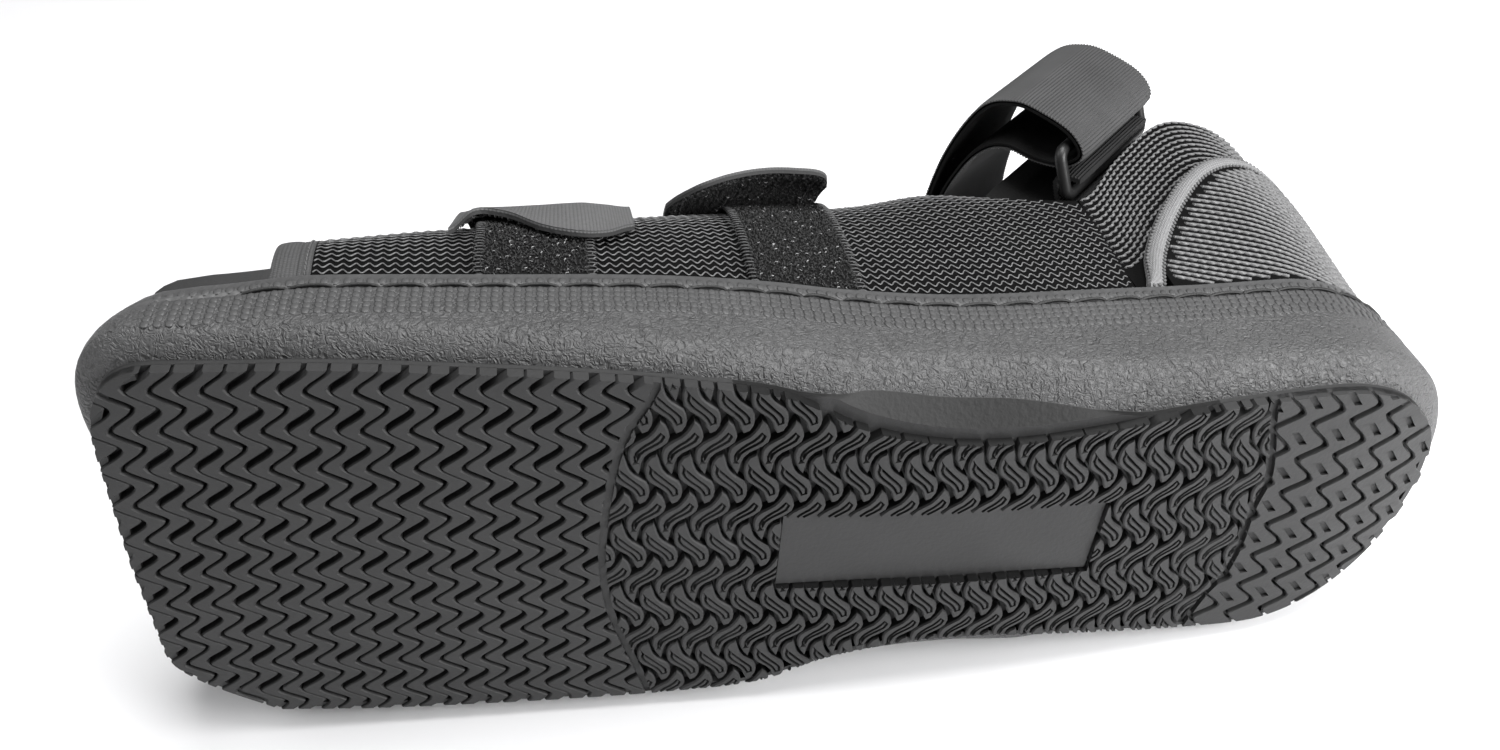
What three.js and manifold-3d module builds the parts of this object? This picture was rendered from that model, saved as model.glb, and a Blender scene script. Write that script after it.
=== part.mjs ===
// Postoperative shoe: rocker sole unit, open-toed mesh upper, two forefoot straps and an ankle strap.
// Millimetres. The shoe is built upright in its own axes: x runs from toe to heel, y from the near side
// (negative) to the far side, z up from the middle of the tread. It is then laid on its far side, with the
// tread to the front, and the origin is put at the middle of the floor under it.

import * as THREE from 'three';
import { mergeVertices } from 'three/addons/utils/BufferGeometryUtils.js';
import ManifoldModule from 'manifold-3d';

const wasm = await ManifoldModule();
wasm.setup();

// Driving dimensions of the sole
const TOE_CORNER_LENGTH = 22;
const TOE_FRONT_HALF = 30;
const TOE_FRONT = 0.8;
const TOE_FRONT_BOW = 0.8;
const HEEL_CENTRE = 257;
const TOE_REACH = 6;
const TOE_FULLNESS = 0.2;
const NEAR_TOE_CORNER = { roundness: 0.5, tuck: 5 };
const FAR_TOE_CORNER = { roundness: 2.4, tuck: 3 };
const HEEL_REACH = 5.4;
const OUTSOLE_THICKNESS = 3.5;
const ROCKER_MIDDLE = 178.5;
const ROCKER_HALF_LENGTH = 30;
const ROCKER_SLOPE = Math.tan(THREE.MathUtils.degToRad(3.5));
const HEEL_ROLL_START = 258;
const HEEL_ROLL_LENGTH = 36;
const HEEL_ROLL_RISE = 5;
const RIM_THICKNESS = 3;
const SEAT_DEPTH = 7;
const WALL_BULGE_HEIGHT = 0.2;
const RIM_TUCK = 1.2;
const INSOLE_PROUD = 5;
const INSOLE_EDGE_ROUND = 2;

// Driving dimensions of the tread relief
const GROOVE_PITCH = 9.4;
const GROOVE_WIDTH = 1.8;
const GROOVE_DEPTH = 1.8;
const ZIGZAG_PERIOD = 10.1;
const ZIGZAG_HALF_SWING = 2.3;
const GROOVE_REACH = 60.6;
const FOREFOOT_GROOVES = { first: 8, count: 10 };
const HEEL_GROOVES = { first: 254, count: 4 };
const LABEL_RECESS = { start: 136, end: 211, half: 11, depth: 1.1 };

// Driving dimensions of the upper
const FIT_GAP = 0.3;
const PANEL_THICKNESS = 2.4;
const PANEL_FRONT = 39;
const PANEL_REAR = 224;
const TOE_BINDING_WIDTH = 5.5;
const TOE_BINDING_WRAP = 0.7;
const COLLAR_THICKNESS = 3;
const COUNTER_THICKNESS = 2;
const COUNTER_FRONT = 237;
const BINDING_THICKNESS = 2.6;
const BINDING_WIDTH = 5;
const PATCH_THICKNESS = 1.5;
const PATCH_REACH = 0.72;
const STRAP_THICKNESS = 2.4;

// Driving dimensions of the ankle strap, whose width follows the collar's sloping front edge
const ANKLE_SLOPE = THREE.MathUtils.degToRad(46);
const ANKLE_STRAP_START = 220;
const ANKLE_STRAP_WIDTH = 45;
const ANKLE_STRAP_THICKNESS = 2.2;
const RING_BAR = 3.2;
const RING_CORNER = 4;
const RING_SLOT_LENGTH = 46;
const RING_SLOT_CORNER = 1.5;
const RING_TAB_START = 220.5;
const RING_TAB_WIDTH = 44;
const RING_TAB_THICKNESS = 2.2;

// How the shoe lies: turns that bring its far side down onto the floor
const LYING_YAW = THREE.MathUtils.degToRad(4.3);
const LYING_ROLL = THREE.MathUtils.degToRad(2.09);

// Half widths along the sole: at the tread's edge and at the rim of the side wall
const SOLE = [
  { x: 22, tread: 51.8, wall: 56.2 },
  { x: 45, tread: 52.2, wall: 56.6 },
  { x: 70, tread: 51.4, wall: 55.8 },
  { x: 95, tread: 50.0, wall: 54.4 },
  { x: 115, tread: 48.2, wall: 52.4 },
  { x: 136, tread: 44.6, wall: 49.4 },
  { x: 150, tread: 37.0, wall: 47.2 },
  { x: 168, tread: 32.2, wall: 45.5 },
  { x: 185, tread: 31.4, wall: 44.6 },
  { x: 203, tread: 33.2, wall: 43.8 },
  { x: 222, tread: 35.6, wall: 42.8 },
  { x: 240, tread: 37.2, wall: 42.2 },
  { x: 257, tread: 38.0, wall: 42.2 },
];

// Height of the side wall's rim along the sole
const RIM = [
  { x: -4, height: 33 },
  { x: 80, height: 33 },
  { x: 135, height: 36 },
  { x: 180, height: 35.6 },
  { x: 222, height: 39 },
  { x: 256, height: 41.3 },
  { x: 298, height: 43.5 },
];

// The smooth facet that undercuts the side wall at the arch: how far out and up it goes
const ARCH = [
  { x: 136, out: 0, rise: 0 },
  { x: 150, out: 6.2, rise: 5 },
  { x: 168, out: 7.6, rise: 6.4 },
  { x: 185, out: 7.2, rise: 6.2 },
  { x: 203, out: 3.2, rise: 3.2 },
  { x: 216, out: 0, rise: 0 },
];

// Upper edge of a side panel: distance from the middle, height, and how far the side stays upright
const PANEL = [
  { x: 33, half: 14, height: 71, swell: 1 },
  { x: 64, half: 14, height: 77, swell: 1 },
  { x: 90, half: 14, height: 82, swell: 1 },
  { x: 112, half: 14, height: 87, swell: 1 },
  { x: 140, half: 15, height: 95, swell: 0.95 },
  { x: 166, half: 20, height: 99, swell: 0.9 },
  { x: 185, half: 29, height: 97.5, swell: 0.85 },
  { x: 205, half: 34, height: 90, swell: 0.8 },
  { x: 224, half: 37.5, height: 83, swell: 0.7 },
];

// Top edge of the heel collar, and how far its top leans out from the rim
const COLLAR = [
  { x: 224, top: 83, flare: -5 },
  { x: 240, top: 99, flare: -2.4 },
  { x: 257, top: 114, flare: -0.4 },
  { x: 270, top: 117, flare: -0.6 },
  { x: 298, top: 117, flare: -1.6 },
];

// Outer edge of the tape along the heel counter's arch
const COUNTER = [
  { x: 226, top: 41 },
  { x: 230, top: 52 },
  { x: 237, top: 65 },
  { x: 249, top: 81 },
  { x: 260, top: 91 },
  { x: 271, top: 96.5 },
  { x: 284, top: 96.5 },
  { x: 298, top: 95 },
];

// Loop patches and straps across the forefoot, each between two stations along the shoe
const FRONT_PATCH = { start: 74, end: 98 };
const REAR_PATCH = { start: 132, end: 157 };

// Free end of each strap: where along the panel it ends, and how far it stands off there
const FRONT_STRAP = [
  { x: 68, end: 0.2, lift: 4 },
  { x: 73, end: 0.34, lift: 4.6 },
  { x: 79, end: 0.31, lift: 4.4 },
  { x: 87, end: 0.2, lift: 4 },
  { x: 96, end: 0.15, lift: 4 },
  { x: 102, end: 0.17, lift: 4 },
  { x: 108, end: 0.23, lift: 4.2 },
];
const REAR_STRAP = [
  { x: 118, end: 0.36, lift: 4.8 },
  { x: 124, end: 0.38, lift: 7.4 },
  { x: 131, end: 0.39, lift: 10.2 },
  { x: 142, end: 0.42, lift: 11.8 },
  { x: 152, end: 0.42, lift: 12 },
  { x: 155.5, end: 0.45, lift: 11.4 },
  { x: 158, end: 0.56, lift: 10.6 },
];

// Ankle strap's route across the instep, as distance from the middle and height on its own slope:
// sewn on the far side, over the instep, round the ring's bar, and back over the top
const ANKLE_ROUTE = [
  { across: 44.6, height: -122 },
  { across: 44.6, height: -106 },
  { across: 40, height: -88 },
  { across: 24, height: -70 },
  { across: 4, height: -63.6 },
  { across: -16, height: -63.2 },
  { across: -31, height: -68 },
  { across: -39, height: -73.6 },
  { across: -42, height: -80 },
  { across: -41.4, height: -88 },
  { across: -42.8, height: -96 },
  { across: -47.2, height: -99.9 },
  { across: -51.8, height: -96 },
  { across: -54.2, height: -88 },
  { across: -54.6, height: -79 },
  { across: -49, height: -70 },
  { across: -30, height: -62 },
  { across: -4, height: -58.4 },
  { across: 16, height: -60.5 },
];

// Ring's two long bars on the same slope, and the tab's route from the collar round the lower bar
const RING_STRAP_BAR = { across: -47.2, height: -95 };
const RING_TAB_BAR = { across: -35.8, height: -99.8 };
const RING_TAB_ROUTE = [
  { across: -33.8, height: -119, spread: 2.2 },
  { across: -33.2, height: -111, spread: 1.6 },
  { across: -32.6, height: -104, spread: 0.6 },
  { across: -31.8, height: -99.3, spread: 0 },
  { across: -32.4, height: -96.8, spread: 0 },
  { across: -34.6, height: -95.7, spread: 0 },
  { across: -37.2, height: -95, spread: 0 },
  { across: -39, height: -96.4, spread: 0 },
  { across: -39.7, height: -98.8, spread: 0 },
  { across: -39.9, height: -101.4, spread: 0 },
];

const NEAR = -1;
const FAR = 1;
const SIDE_STATIONS = 24;
const TOE_STATIONS = 3;
const CORNER_STATIONS = 6;
const HEEL_STATIONS = 9;
const WALL_SHARES = [0, 0.1, 0.2, 0.45, 0.72, 1];
const PANEL_STEPS = 20;
const PANEL_SHARES = evenSteps(0, 1, 8);
const PATCH_FOOT = 0.04;
const STRAP_FAR_SHARES = [0.12, 0.26, 0.42, 0.6, 0.8, 0.95];
const STRAP_NEAR_START = 0.95;
const STRAP_FREE_START = 0.75;
const COLLAR_FLARE_SHARE = 0.6;

// Smooth value of one column of a table at any station
function column(rows, name) {
  const stations = rows.map((row) => row.x);
  const values = rows.map((row) => row[name]);
  const track = new THREE.CubicInterpolant(stations, values, 1);
  return (x) => track.evaluate(x)[0];
}

const treadHalf = column(SOLE, 'tread');
const wallHalf = column(SOLE, 'wall');
const rimHeight = column(RIM, 'height');
const archOut = column(ARCH, 'out');
const archRise = column(ARCH, 'rise');
const panelHalf = column(PANEL, 'half');
const panelHeight = column(PANEL, 'height');
const panelSwell = column(PANEL, 'swell');
const collarTop = column(COLLAR, 'top');
const collarFlare = column(COLLAR, 'flare');
const counterTop = column(COUNTER, 'top');

// Height of the bent tread plane: it rises from the rocker towards toe and heel, and the heel is rolled
function treadHeight(x) {
  const away = Math.abs(x - ROCKER_MIDDLE);
  const curved = ROCKER_SLOPE * away * away / (2 * ROCKER_HALF_LENGTH);
  const straight = ROCKER_SLOPE * (away - ROCKER_HALF_LENGTH / 2);
  const roll = Math.max((x - HEEL_ROLL_START) / HEEL_ROLL_LENGTH, 0);
  return (away < ROCKER_HALF_LENGTH ? curved : straight) + HEEL_ROLL_RISE * roll * roll;
}

// Stations round one half of the tread outline, from toe to heel, each with its outward direction
function halfOutline(toeCorner) {
  const stations = [];
  const add = (x, y, nx, ny, reach, fullness, tuck = RIM_TUCK) => {
    const length = Math.hypot(nx, ny);
    stations.push({ x, y, nx: nx / length, ny: ny / length, reach, fullness, tuck });
  };
  const cornerWidth = treadHalf(TOE_CORNER_LENGTH) - TOE_FRONT_HALF;
  const sideReach = wallHalf(TOE_CORNER_LENGTH) - treadHalf(TOE_CORNER_LENGTH);
  const heelSideReach = wallHalf(HEEL_CENTRE) - treadHalf(HEEL_CENTRE);
  for (let i = 0; i < TOE_STATIONS; i += 1) {
    const y = TOE_FRONT_HALF * (i + 0.5) / TOE_STATIONS;
    add(TOE_FRONT + TOE_FRONT_BOW * (y / TOE_FRONT_HALF - 1), y, -1, 0, TOE_REACH, TOE_FULLNESS);
  }
  for (let i = 0; i < CORNER_STATIONS; i += 1) {
    const turn = (i / CORNER_STATIONS) * Math.PI / 2;
    const sine = Math.sin(turn);
    const cosine = Math.cos(turn);
    const x = THREE.MathUtils.lerp(TOE_CORNER_LENGTH, TOE_FRONT, cosine ** toeCorner.roundness);
    const tuck = toeCorner.tuck * Math.sin(2 * turn);
    const reach = THREE.MathUtils.lerp(sideReach, TOE_REACH, cosine) - tuck;
    const fullness = THREE.MathUtils.lerp(TOE_FULLNESS, 1, sine);
    add(x, TOE_FRONT_HALF + cornerWidth * sine, -cosine, sine, reach, fullness, RIM_TUCK + tuck);
  }
  for (let i = 0; i < SIDE_STATIONS; i += 1) {
    const x = THREE.MathUtils.lerp(TOE_CORNER_LENGTH, HEEL_CENTRE, i / SIDE_STATIONS);
    const slope = treadHalf(x + 0.5) - treadHalf(x - 0.5);
    add(x, treadHalf(x), -0.5 * slope, 1, wallHalf(x) - treadHalf(x), 1);
  }
  const heelRadius = treadHalf(HEEL_CENTRE);
  for (let i = 0; i < HEEL_STATIONS; i += 1) {
    const turn = ((i + 0.5 * (i / HEEL_STATIONS)) / HEEL_STATIONS) * Math.PI / 2;
    const sine = Math.sin(turn);
    const cosine = Math.cos(turn);
    const reach = THREE.MathUtils.lerp(heelSideReach, HEEL_REACH, sine);
    add(HEEL_CENTRE + heelRadius * sine, heelRadius * cosine, sine, cosine, reach, 1);
  }
  return stations;
}

const NEAR_OUTLINE = halfOutline(NEAR_TOE_CORNER);
const FAR_OUTLINE = halfOutline(FAR_TOE_CORNER);

// Both halves of an outline, near side first, as one closed ring of points
function soleRing(place) {
  const near = NEAR_OUTLINE.map((station) => place(station, NEAR));
  const far = FAR_OUTLINE.map((station) => place(station, FAR)).reverse();
  return near.concat(far);
}

function outlinePoint(station, side, grow, z) {
  const x = station.x + station.nx * grow;
  const y = side * (station.y + station.ny * grow);
  return new THREE.Vector3(x, y, z);
}

// How far the side wall stands out from the tread's edge at a height above the tread: upright past the
// outsole, or sloping at the arch, then full below its middle at the sides and sloping out at the toe
function wallOut(station, height) {
  const out = archOut(station.x);
  const rise = archRise(station.x);
  if (height < rise) {
    return out * height / rise;
  }
  const base = Math.max(rise, OUTSOLE_THICKNESS);
  const wallHeight = rimHeight(station.x) - treadHeight(station.x);
  const share = THREE.MathUtils.clamp((height - base) / (wallHeight - base), 0, 1);
  const fullest = station.reach + station.tuck - out;
  const below = 1 - Math.min(share / WALL_BULGE_HEIGHT, 1);
  const above = Math.max((share - WALL_BULGE_HEIGHT) / (1 - WALL_BULGE_HEIGHT), 0);
  const bulged = fullest * (1 - below * below) - station.tuck * above * above;
  const sloping = (station.reach - out) * share;
  return out + THREE.MathUtils.lerp(sloping, bulged, station.fullness);
}

// A closed solid through rings of equal length, whose ends are closed by strips across each ring
function loft(rings) {
  const count = rings[0].length;
  const positions = rings.flatMap((ring) => ring.flatMap((point) => point.toArray()));
  const faces = [];
  const quad = (a, b, c, d) => faces.push(a, b, c, a, c, d);
  for (let r = 0; r + 1 < rings.length; r += 1) {
    for (let i = 0; i < count; i += 1) {
      const next = (i + 1) % count;
      quad(r * count + i, r * count + next, (r + 1) * count + next, (r + 1) * count + i);
    }
  }
  const last = (rings.length - 1) * count;
  for (let i = 0; i < count / 2 - 1; i += 1) {
    const across = count - 1 - i;
    quad(i, across, across - 1, i + 1);
    quad(last + i, last + i + 1, last + across - 1, last + across);
  }
  const geometry = new THREE.BufferGeometry();
  geometry.setAttribute('position', new THREE.Float32BufferAttribute(positions, 3));
  geometry.setIndex(faces);
  return facingOut(geometry);
}

// Turns a closed geometry's faces outwards, by the sign of its volume
function facingOut(geometry) {
  const position = geometry.getAttribute('position');
  const index = geometry.getIndex().array;
  const [a, b, c] = [new THREE.Vector3(), new THREE.Vector3(), new THREE.Vector3()];
  let volume = 0;
  for (let i = 0; i < index.length; i += 3) {
    a.fromBufferAttribute(position, index[i]);
    b.fromBufferAttribute(position, index[i + 1]);
    c.fromBufferAttribute(position, index[i + 2]);
    volume += a.dot(b.cross(c));
  }
  if (volume < 0) {
    geometry.setIndex(Array.from(index).reverse());
  }
  geometry.computeVertexNormals();
  return geometry;
}

// A geometry as a solid for joining and cutting, and back
function toSolid(geometry) {
  const bare = geometry.clone();
  bare.deleteAttribute('normal');
  bare.deleteAttribute('uv');
  const merged = mergeVertices(bare, 1e-4);
  const vertProperties = new Float32Array(merged.getAttribute('position').array);
  const triVerts = new Uint32Array(merged.getIndex().array);
  return new wasm.Manifold(new wasm.Mesh({ numProp: 3, vertProperties, triVerts }));
}

function toGeometry(solid) {
  const mesh = solid.getMesh();
  const geometry = new THREE.BufferGeometry();
  geometry.setAttribute('position', new THREE.Float32BufferAttribute(mesh.vertProperties, 3));
  geometry.setIndex(Array.from(mesh.triVerts));
  geometry.computeVertexNormals();
  return geometry;
}

// A zigzag groove across the sole, cut up into the tread from below
function grooveCutter(x) {
  const turns = Math.round(2 * GROOVE_REACH / ZIGZAG_PERIOD) * 2;
  const edge = [];
  for (let i = 0; i <= turns; i += 1) {
    const y = -GROOVE_REACH + i * ZIGZAG_PERIOD / 2;
    const swing = i % 2 === 0 ? -ZIGZAG_HALF_SWING : ZIGZAG_HALF_SWING;
    edge.push(new THREE.Vector2(x + swing - GROOVE_WIDTH / 2, y));
  }
  const back = edge.map((point) => new THREE.Vector2(point.x + GROOVE_WIDTH, point.y)).reverse();
  const shape = new THREE.Shape(edge.concat(back));
  const geometry = new THREE.ExtrudeGeometry(shape, { depth: 3 * GROOVE_DEPTH, bevelEnabled: false });
  return geometry.translate(0, 0, treadHeight(x) - 2 * GROOVE_DEPTH);
}

// The bare recess follows the rocker in strips
function recessCutter() {
  const rings = evenSteps(LABEL_RECESS.start, LABEL_RECESS.end, 8).map((x) => {
    const low = treadHeight(x) - LABEL_RECESS.depth;
    const high = treadHeight(x) + LABEL_RECESS.depth;
    return [
      new THREE.Vector3(x, -LABEL_RECESS.half, low),
      new THREE.Vector3(x, -LABEL_RECESS.half, high),
      new THREE.Vector3(x, LABEL_RECESS.half, high),
      new THREE.Vector3(x, LABEL_RECESS.half, low),
    ];
  });
  return loft(rings);
}

function outsole() {
  const level = (height) => soleRing((station, side) => {
    const grow = wallOut(station, height);
    return outlinePoint(station, side, grow, treadHeight(station.x) + height);
  });
  let solid = toSolid(loft([level(0), level(OUTSOLE_THICKNESS)]));
  for (const zone of [FOREFOOT_GROOVES, HEEL_GROOVES]) {
    for (let i = 0; i < zone.count; i += 1) {
      solid = solid.subtract(toSolid(grooveCutter(zone.first + i * GROOVE_PITCH)));
    }
  }
  return toGeometry(solid.subtract(toSolid(recessCutter())));
}

function midsole() {
  const rings = WALL_SHARES.map((share) => soleRing((station, side) => {
    const tread = treadHeight(station.x);
    const base = OUTSOLE_THICKNESS + FIT_GAP;
    const height = THREE.MathUtils.lerp(base, rimHeight(station.x) - tread, share);
    return outlinePoint(station, side, wallOut(station, height), tread + height);
  }));
  const inside = (depth) => soleRing((station, side) => {
    return outlinePoint(station, side, station.reach - RIM_THICKNESS, rimHeight(station.x) - depth);
  });
  return loft([...rings, inside(0), inside(SEAT_DEPTH)]);
}

function insole() {
  const inset = RIM_THICKNESS + PANEL_THICKNESS + TOE_BINDING_WRAP + 3 * FIT_GAP;
  const level = (height, round) => soleRing((station, side) => {
    return outlinePoint(station, side, station.reach - inset - round, rimHeight(station.x) + height);
  });
  const low = level(FIT_GAP - SEAT_DEPTH, 0);
  const shoulder = level(INSOLE_PROUD - INSOLE_EDGE_ROUND, 0);
  return loft([low, shoulder, level(INSOLE_PROUD, INSOLE_EDGE_ROUND)]);
}

// A side panel's outer face at a station: share 0 at the rim, 1 at its upper edge
function panelPoint(x, share) {
  const foot = wallHalf(x) - RIM_THICKNESS - FIT_GAP;
  const rim = rimHeight(x);
  const top = panelHeight(x);
  const middle = THREE.MathUtils.lerp(rim, top, panelSwell(x));
  const curve = new THREE.QuadraticBezierCurve(
    new THREE.Vector2(foot, rim),
    new THREE.Vector2(foot, middle),
    new THREE.Vector2(panelHalf(x), top),
  );
  const point = curve.getPoint(share);
  const along = curve.getTangent(share);
  return { point, outward: new THREE.Vector2(along.y, -along.x) };
}

function panelOffset(x, share, offset) {
  const { point, outward } = panelPoint(x, share);
  return point.clone().addScaledVector(outward, offset);
}

// A ring through the outer and inner edge lines of one section of a wall
function wallRing(x, side, outer, inner) {
  const toPoint = (point) => new THREE.Vector3(x, side * point.x, point.y);
  return outer.map(toPoint).concat(inner.map(toPoint).reverse());
}

function evenSteps(start, end, count) {
  return Array.from({ length: count + 1 }, (_, i) => THREE.MathUtils.lerp(start, end, i / count));
}

// A side panel, seated behind the rim
function sidePanel(side) {
  const section = (x, offset) => {
    const points = PANEL_SHARES.map((share) => panelOffset(x, share, offset));
    const seat = rimHeight(x) - SEAT_DEPTH + FIT_GAP;
    return [new THREE.Vector2(points[0].x, seat), ...points];
  };
  const rings = evenSteps(PANEL_FRONT, PANEL_REAR, PANEL_STEPS).map((x) => {
    return wallRing(x, side, section(x, 0), section(x, -PANEL_THICKNESS));
  });
  return loft(rings);
}

function toeBinding(side) {
  const end = PANEL_FRONT - FIT_GAP;
  const start = end - TOE_BINDING_WIDTH;
  const inside = -PANEL_THICKNESS - TOE_BINDING_WRAP;
  const rings = evenSteps(start, end, 2).map((x) => {
    const lift = rimHeight(x) + FIT_GAP;
    const edge = (offset) => PANEL_SHARES.map((share) => {
      const point = panelOffset(x, share, offset);
      point.y = Math.max(point.y, lift + share);
      return point;
    });
    return wallRing(x, side, edge(TOE_BINDING_WRAP), edge(inside));
  });
  return loft(rings);
}

function loopPatch(patch) {
  const shares = evenSteps(PATCH_FOOT, PATCH_REACH, 6);
  const rings = evenSteps(patch.start, patch.end, 4).map((x) => {
    const edge = (offset) => shares.map((share) => panelOffset(x, share, offset));
    return wallRing(x, NEAR, edge(FIT_GAP + PATCH_THICKNESS), edge(FIT_GAP));
  });
  return loft(rings);
}

// A forefoot strap: sewn low on the far panel, over the foot, its free end standing off the near panel
function forefootStrap(rows) {
  const endShare = column(rows, 'end');
  const endLift = column(rows, 'lift');
  const sewn = 3 * FIT_GAP + STRAP_THICKNESS / 2;
  const clear = 4 * FIT_GAP + PATCH_THICKNESS + STRAP_THICKNESS / 2;
  const start = rows[0].x;
  const end = rows[rows.length - 1].x;
  const rings = evenSteps(start, end, 8).map((x) => {
    const far = STRAP_FAR_SHARES.map((share) => panelOffset(x, share, sewn));
    const last = endShare(x);
    const between = (STRAP_FREE_START + last) / 2;
    const near = [STRAP_NEAR_START, STRAP_FREE_START, between, last].map((share, i) => {
      const lift = THREE.MathUtils.lerp(clear, endLift(x), (i / 3) ** 2);
      const point = panelOffset(x, share, lift);
      return new THREE.Vector2(-point.x, point.y);
    });
    const route = new THREE.SplineCurve([...far, ...near]);
    const { outer, inner } = ribbonEdges(route, 24, STRAP_THICKNESS);
    return wallRing(x, FAR, outer, inner);
  });
  return loft(rings);
}

// The two edge lines of a band of even thickness along a flat route
function ribbonEdges(route, steps, thickness) {
  const outer = [];
  const inner = [];
  for (const share of evenSteps(0, 1, steps)) {
    const point = route.getPointAt(share);
    const along = route.getTangentAt(share);
    const across = new THREE.Vector2(along.y, -along.x).multiplyScalar(thickness / 2);
    outer.push(point.clone().add(across));
    inner.push(point.clone().sub(across));
  }
  return { outer, inner };
}

// Stations of the heel wall, from the near seam round the back to the far seam
function heelStations(start) {
  const half = NEAR_OUTLINE.filter((station) => station.x > start + 2);
  const slope = wallHalf(start + 0.5) - wallHalf(start - 0.5);
  const reach = wallHalf(start) - treadHalf(start);
  const first = { x: start, y: treadHalf(start), nx: -slope / 2, ny: 1, reach };
  const near = [first, ...half].map((station) => ({ station, side: NEAR }));
  const far = [first, ...half].map((station) => ({ station, side: FAR })).reverse();
  return near.concat(far);
}

// The collar's outer face, as its distance out from the tread outline at a height
function collarOut(station, z) {
  const rim = rimHeight(station.x);
  const share = THREE.MathUtils.smoothstep(z, rim, rim + COLLAR_FLARE_SHARE * (collarTop(station.x) - rim));
  return station.reach + THREE.MathUtils.lerp(-RIM_THICKNESS - FIT_GAP, collarFlare(station.x), share);
}

// A wall round the heel between two height lines, with its faces at two distances from the collar's face
function heelWall(start, low, high, outside, inside) {
  const rings = heelStations(start).map(({ station, side }) => {
    const heights = evenSteps(low(station.x), high(station.x), 7);
    const edge = (offset) => heights.map((z) => {
      return outlinePoint(station, side, collarOut(station, z) + offset, z);
    });
    return edge(outside).concat(edge(inside).reverse());
  });
  return loft(rings);
}

function heelCollar() {
  const seat = (x) => rimHeight(x) - SEAT_DEPTH + FIT_GAP;
  return heelWall(PANEL_REAR + FIT_GAP, seat, collarTop, 0, -COLLAR_THICKNESS);
}

// Lower edge of the tape along the counter's arch, an even width from its upper edge
function tapeLow(x) {
  const slope = counterTop(x + 0.5) - counterTop(x - 0.5);
  const low = counterTop(x) - BINDING_WIDTH * Math.hypot(1, slope);
  return Math.max(low, rimHeight(x) + FIT_GAP);
}

function heelCounter() {
  const low = (x) => rimHeight(x) + FIT_GAP;
  const high = (x) => Math.max(tapeLow(x) - FIT_GAP, low(x) + 1);
  return heelWall(COUNTER_FRONT, low, high, FIT_GAP + COUNTER_THICKNESS, FIT_GAP);
}

function counterBinding() {
  return heelWall(COUNTER[0].x, tapeLow, counterTop, FIT_GAP + BINDING_THICKNESS, FIT_GAP);
}

// The ankle's slope: across the shoe, up from the slope and along it, as one frame
function ankleFrame() {
  const along = new THREE.Vector3(Math.cos(ANKLE_SLOPE), 0, Math.sin(ANKLE_SLOPE));
  const up = new THREE.Vector3(-Math.sin(ANKLE_SLOPE), 0, Math.cos(ANKLE_SLOPE));
  return new THREE.Matrix4().makeBasis(new THREE.Vector3(0, 1, 0), up, along);
}

function slopePoints(route) {
  return route.map((row) => new THREE.Vector2(row.across, row.height));
}

// A band of webbing across the ankle's slope, from its route at the front edge to that at the rear edge
function slopeBand(frontRoute, rearRoute, steps, thickness, start, width) {
  const frame = ankleFrame();
  const ring = (route, along) => {
    const { outer, inner } = ribbonEdges(new THREE.SplineCurve(slopePoints(route)), steps, thickness);
    return outer.concat(inner.reverse()).map((point) => {
      return new THREE.Vector3(point.x, point.y, along).applyMatrix4(frame);
    });
  };
  return loft([ring(frontRoute, start), ring(rearRoute, start + width)]);
}

function ankleStrap() {
  const route = ANKLE_ROUTE;
  return slopeBand(route, route, 60, ANKLE_STRAP_THICKNESS, ANKLE_STRAP_START, ANKLE_STRAP_WIDTH);
}

// The tab spreads outward toward the heel with the collar behind it
function ringTab() {
  const spread = RING_TAB_ROUTE.map((row) => ({ across: row.across - row.spread, height: row.height }));
  return slopeBand(RING_TAB_ROUTE, spread, 24, RING_TAB_THICKNESS, RING_TAB_START, RING_TAB_WIDTH);
}

function roundedRectangle(shape, length, height, corner) {
  const a = length / 2;
  const b = height / 2;
  shape.moveTo(-a + corner, -b);
  shape.lineTo(a - corner, -b).quadraticCurveTo(a, -b, a, -b + corner);
  shape.lineTo(a, b - corner).quadraticCurveTo(a, b, a - corner, b);
  shape.lineTo(-a + corner, b).quadraticCurveTo(-a, b, -a, b - corner);
  shape.lineTo(-a, -b + corner).quadraticCurveTo(-a, -b, -a + corner, -b);
  return shape;
}

// The ring: a rounded rectangular loop whose long bars lie along the collar's front edge
function ankleRing() {
  const [tabBar, strapBar] = slopePoints([RING_TAB_BAR, RING_STRAP_BAR]);
  const pitch = tabBar.distanceTo(strapBar);
  const length = RING_SLOT_LENGTH + 2 * RING_BAR;
  const shape = roundedRectangle(new THREE.Shape(), length, pitch + RING_BAR, RING_CORNER);
  shape.holes.push(roundedRectangle(new THREE.Path(), RING_SLOT_LENGTH, pitch - RING_BAR, RING_SLOT_CORNER));
  const options = { depth: RING_BAR, bevelEnabled: false, curveSegments: 4 };
  const geometry = new THREE.ExtrudeGeometry(shape, options);
  const between = strapBar.clone().sub(tabBar).normalize();
  const lengthwise = new THREE.Vector3(0, 0, 1);
  const heightwise = new THREE.Vector3(between.x, between.y, 0);
  const through = lengthwise.clone().cross(heightwise);
  const centre = tabBar.clone().add(strapBar).multiplyScalar(0.5);
  const basis = new THREE.Matrix4().makeBasis(lengthwise, heightwise, through);
  basis.setPosition(centre.x, centre.y, ANKLE_STRAP_START + ANKLE_STRAP_WIDTH / 2);
  geometry.translate(0, 0, -RING_BAR / 2).applyMatrix4(basis);
  return geometry.applyMatrix4(ankleFrame());
}

const COLOURS = {
  tread: 0x2c2c2d,
  wall: 0x5b5b5c,
  insole: 0x1b1b1c,
  mesh: 0x1d1d1e,
  binding: 0x8b8b8c,
  tape: 0x5a5a5b,
  pile: 0x161617,
  strap: 0x606061,
  webbing: 0x3a3a3b,
  plastic: 0x121213,
};

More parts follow.
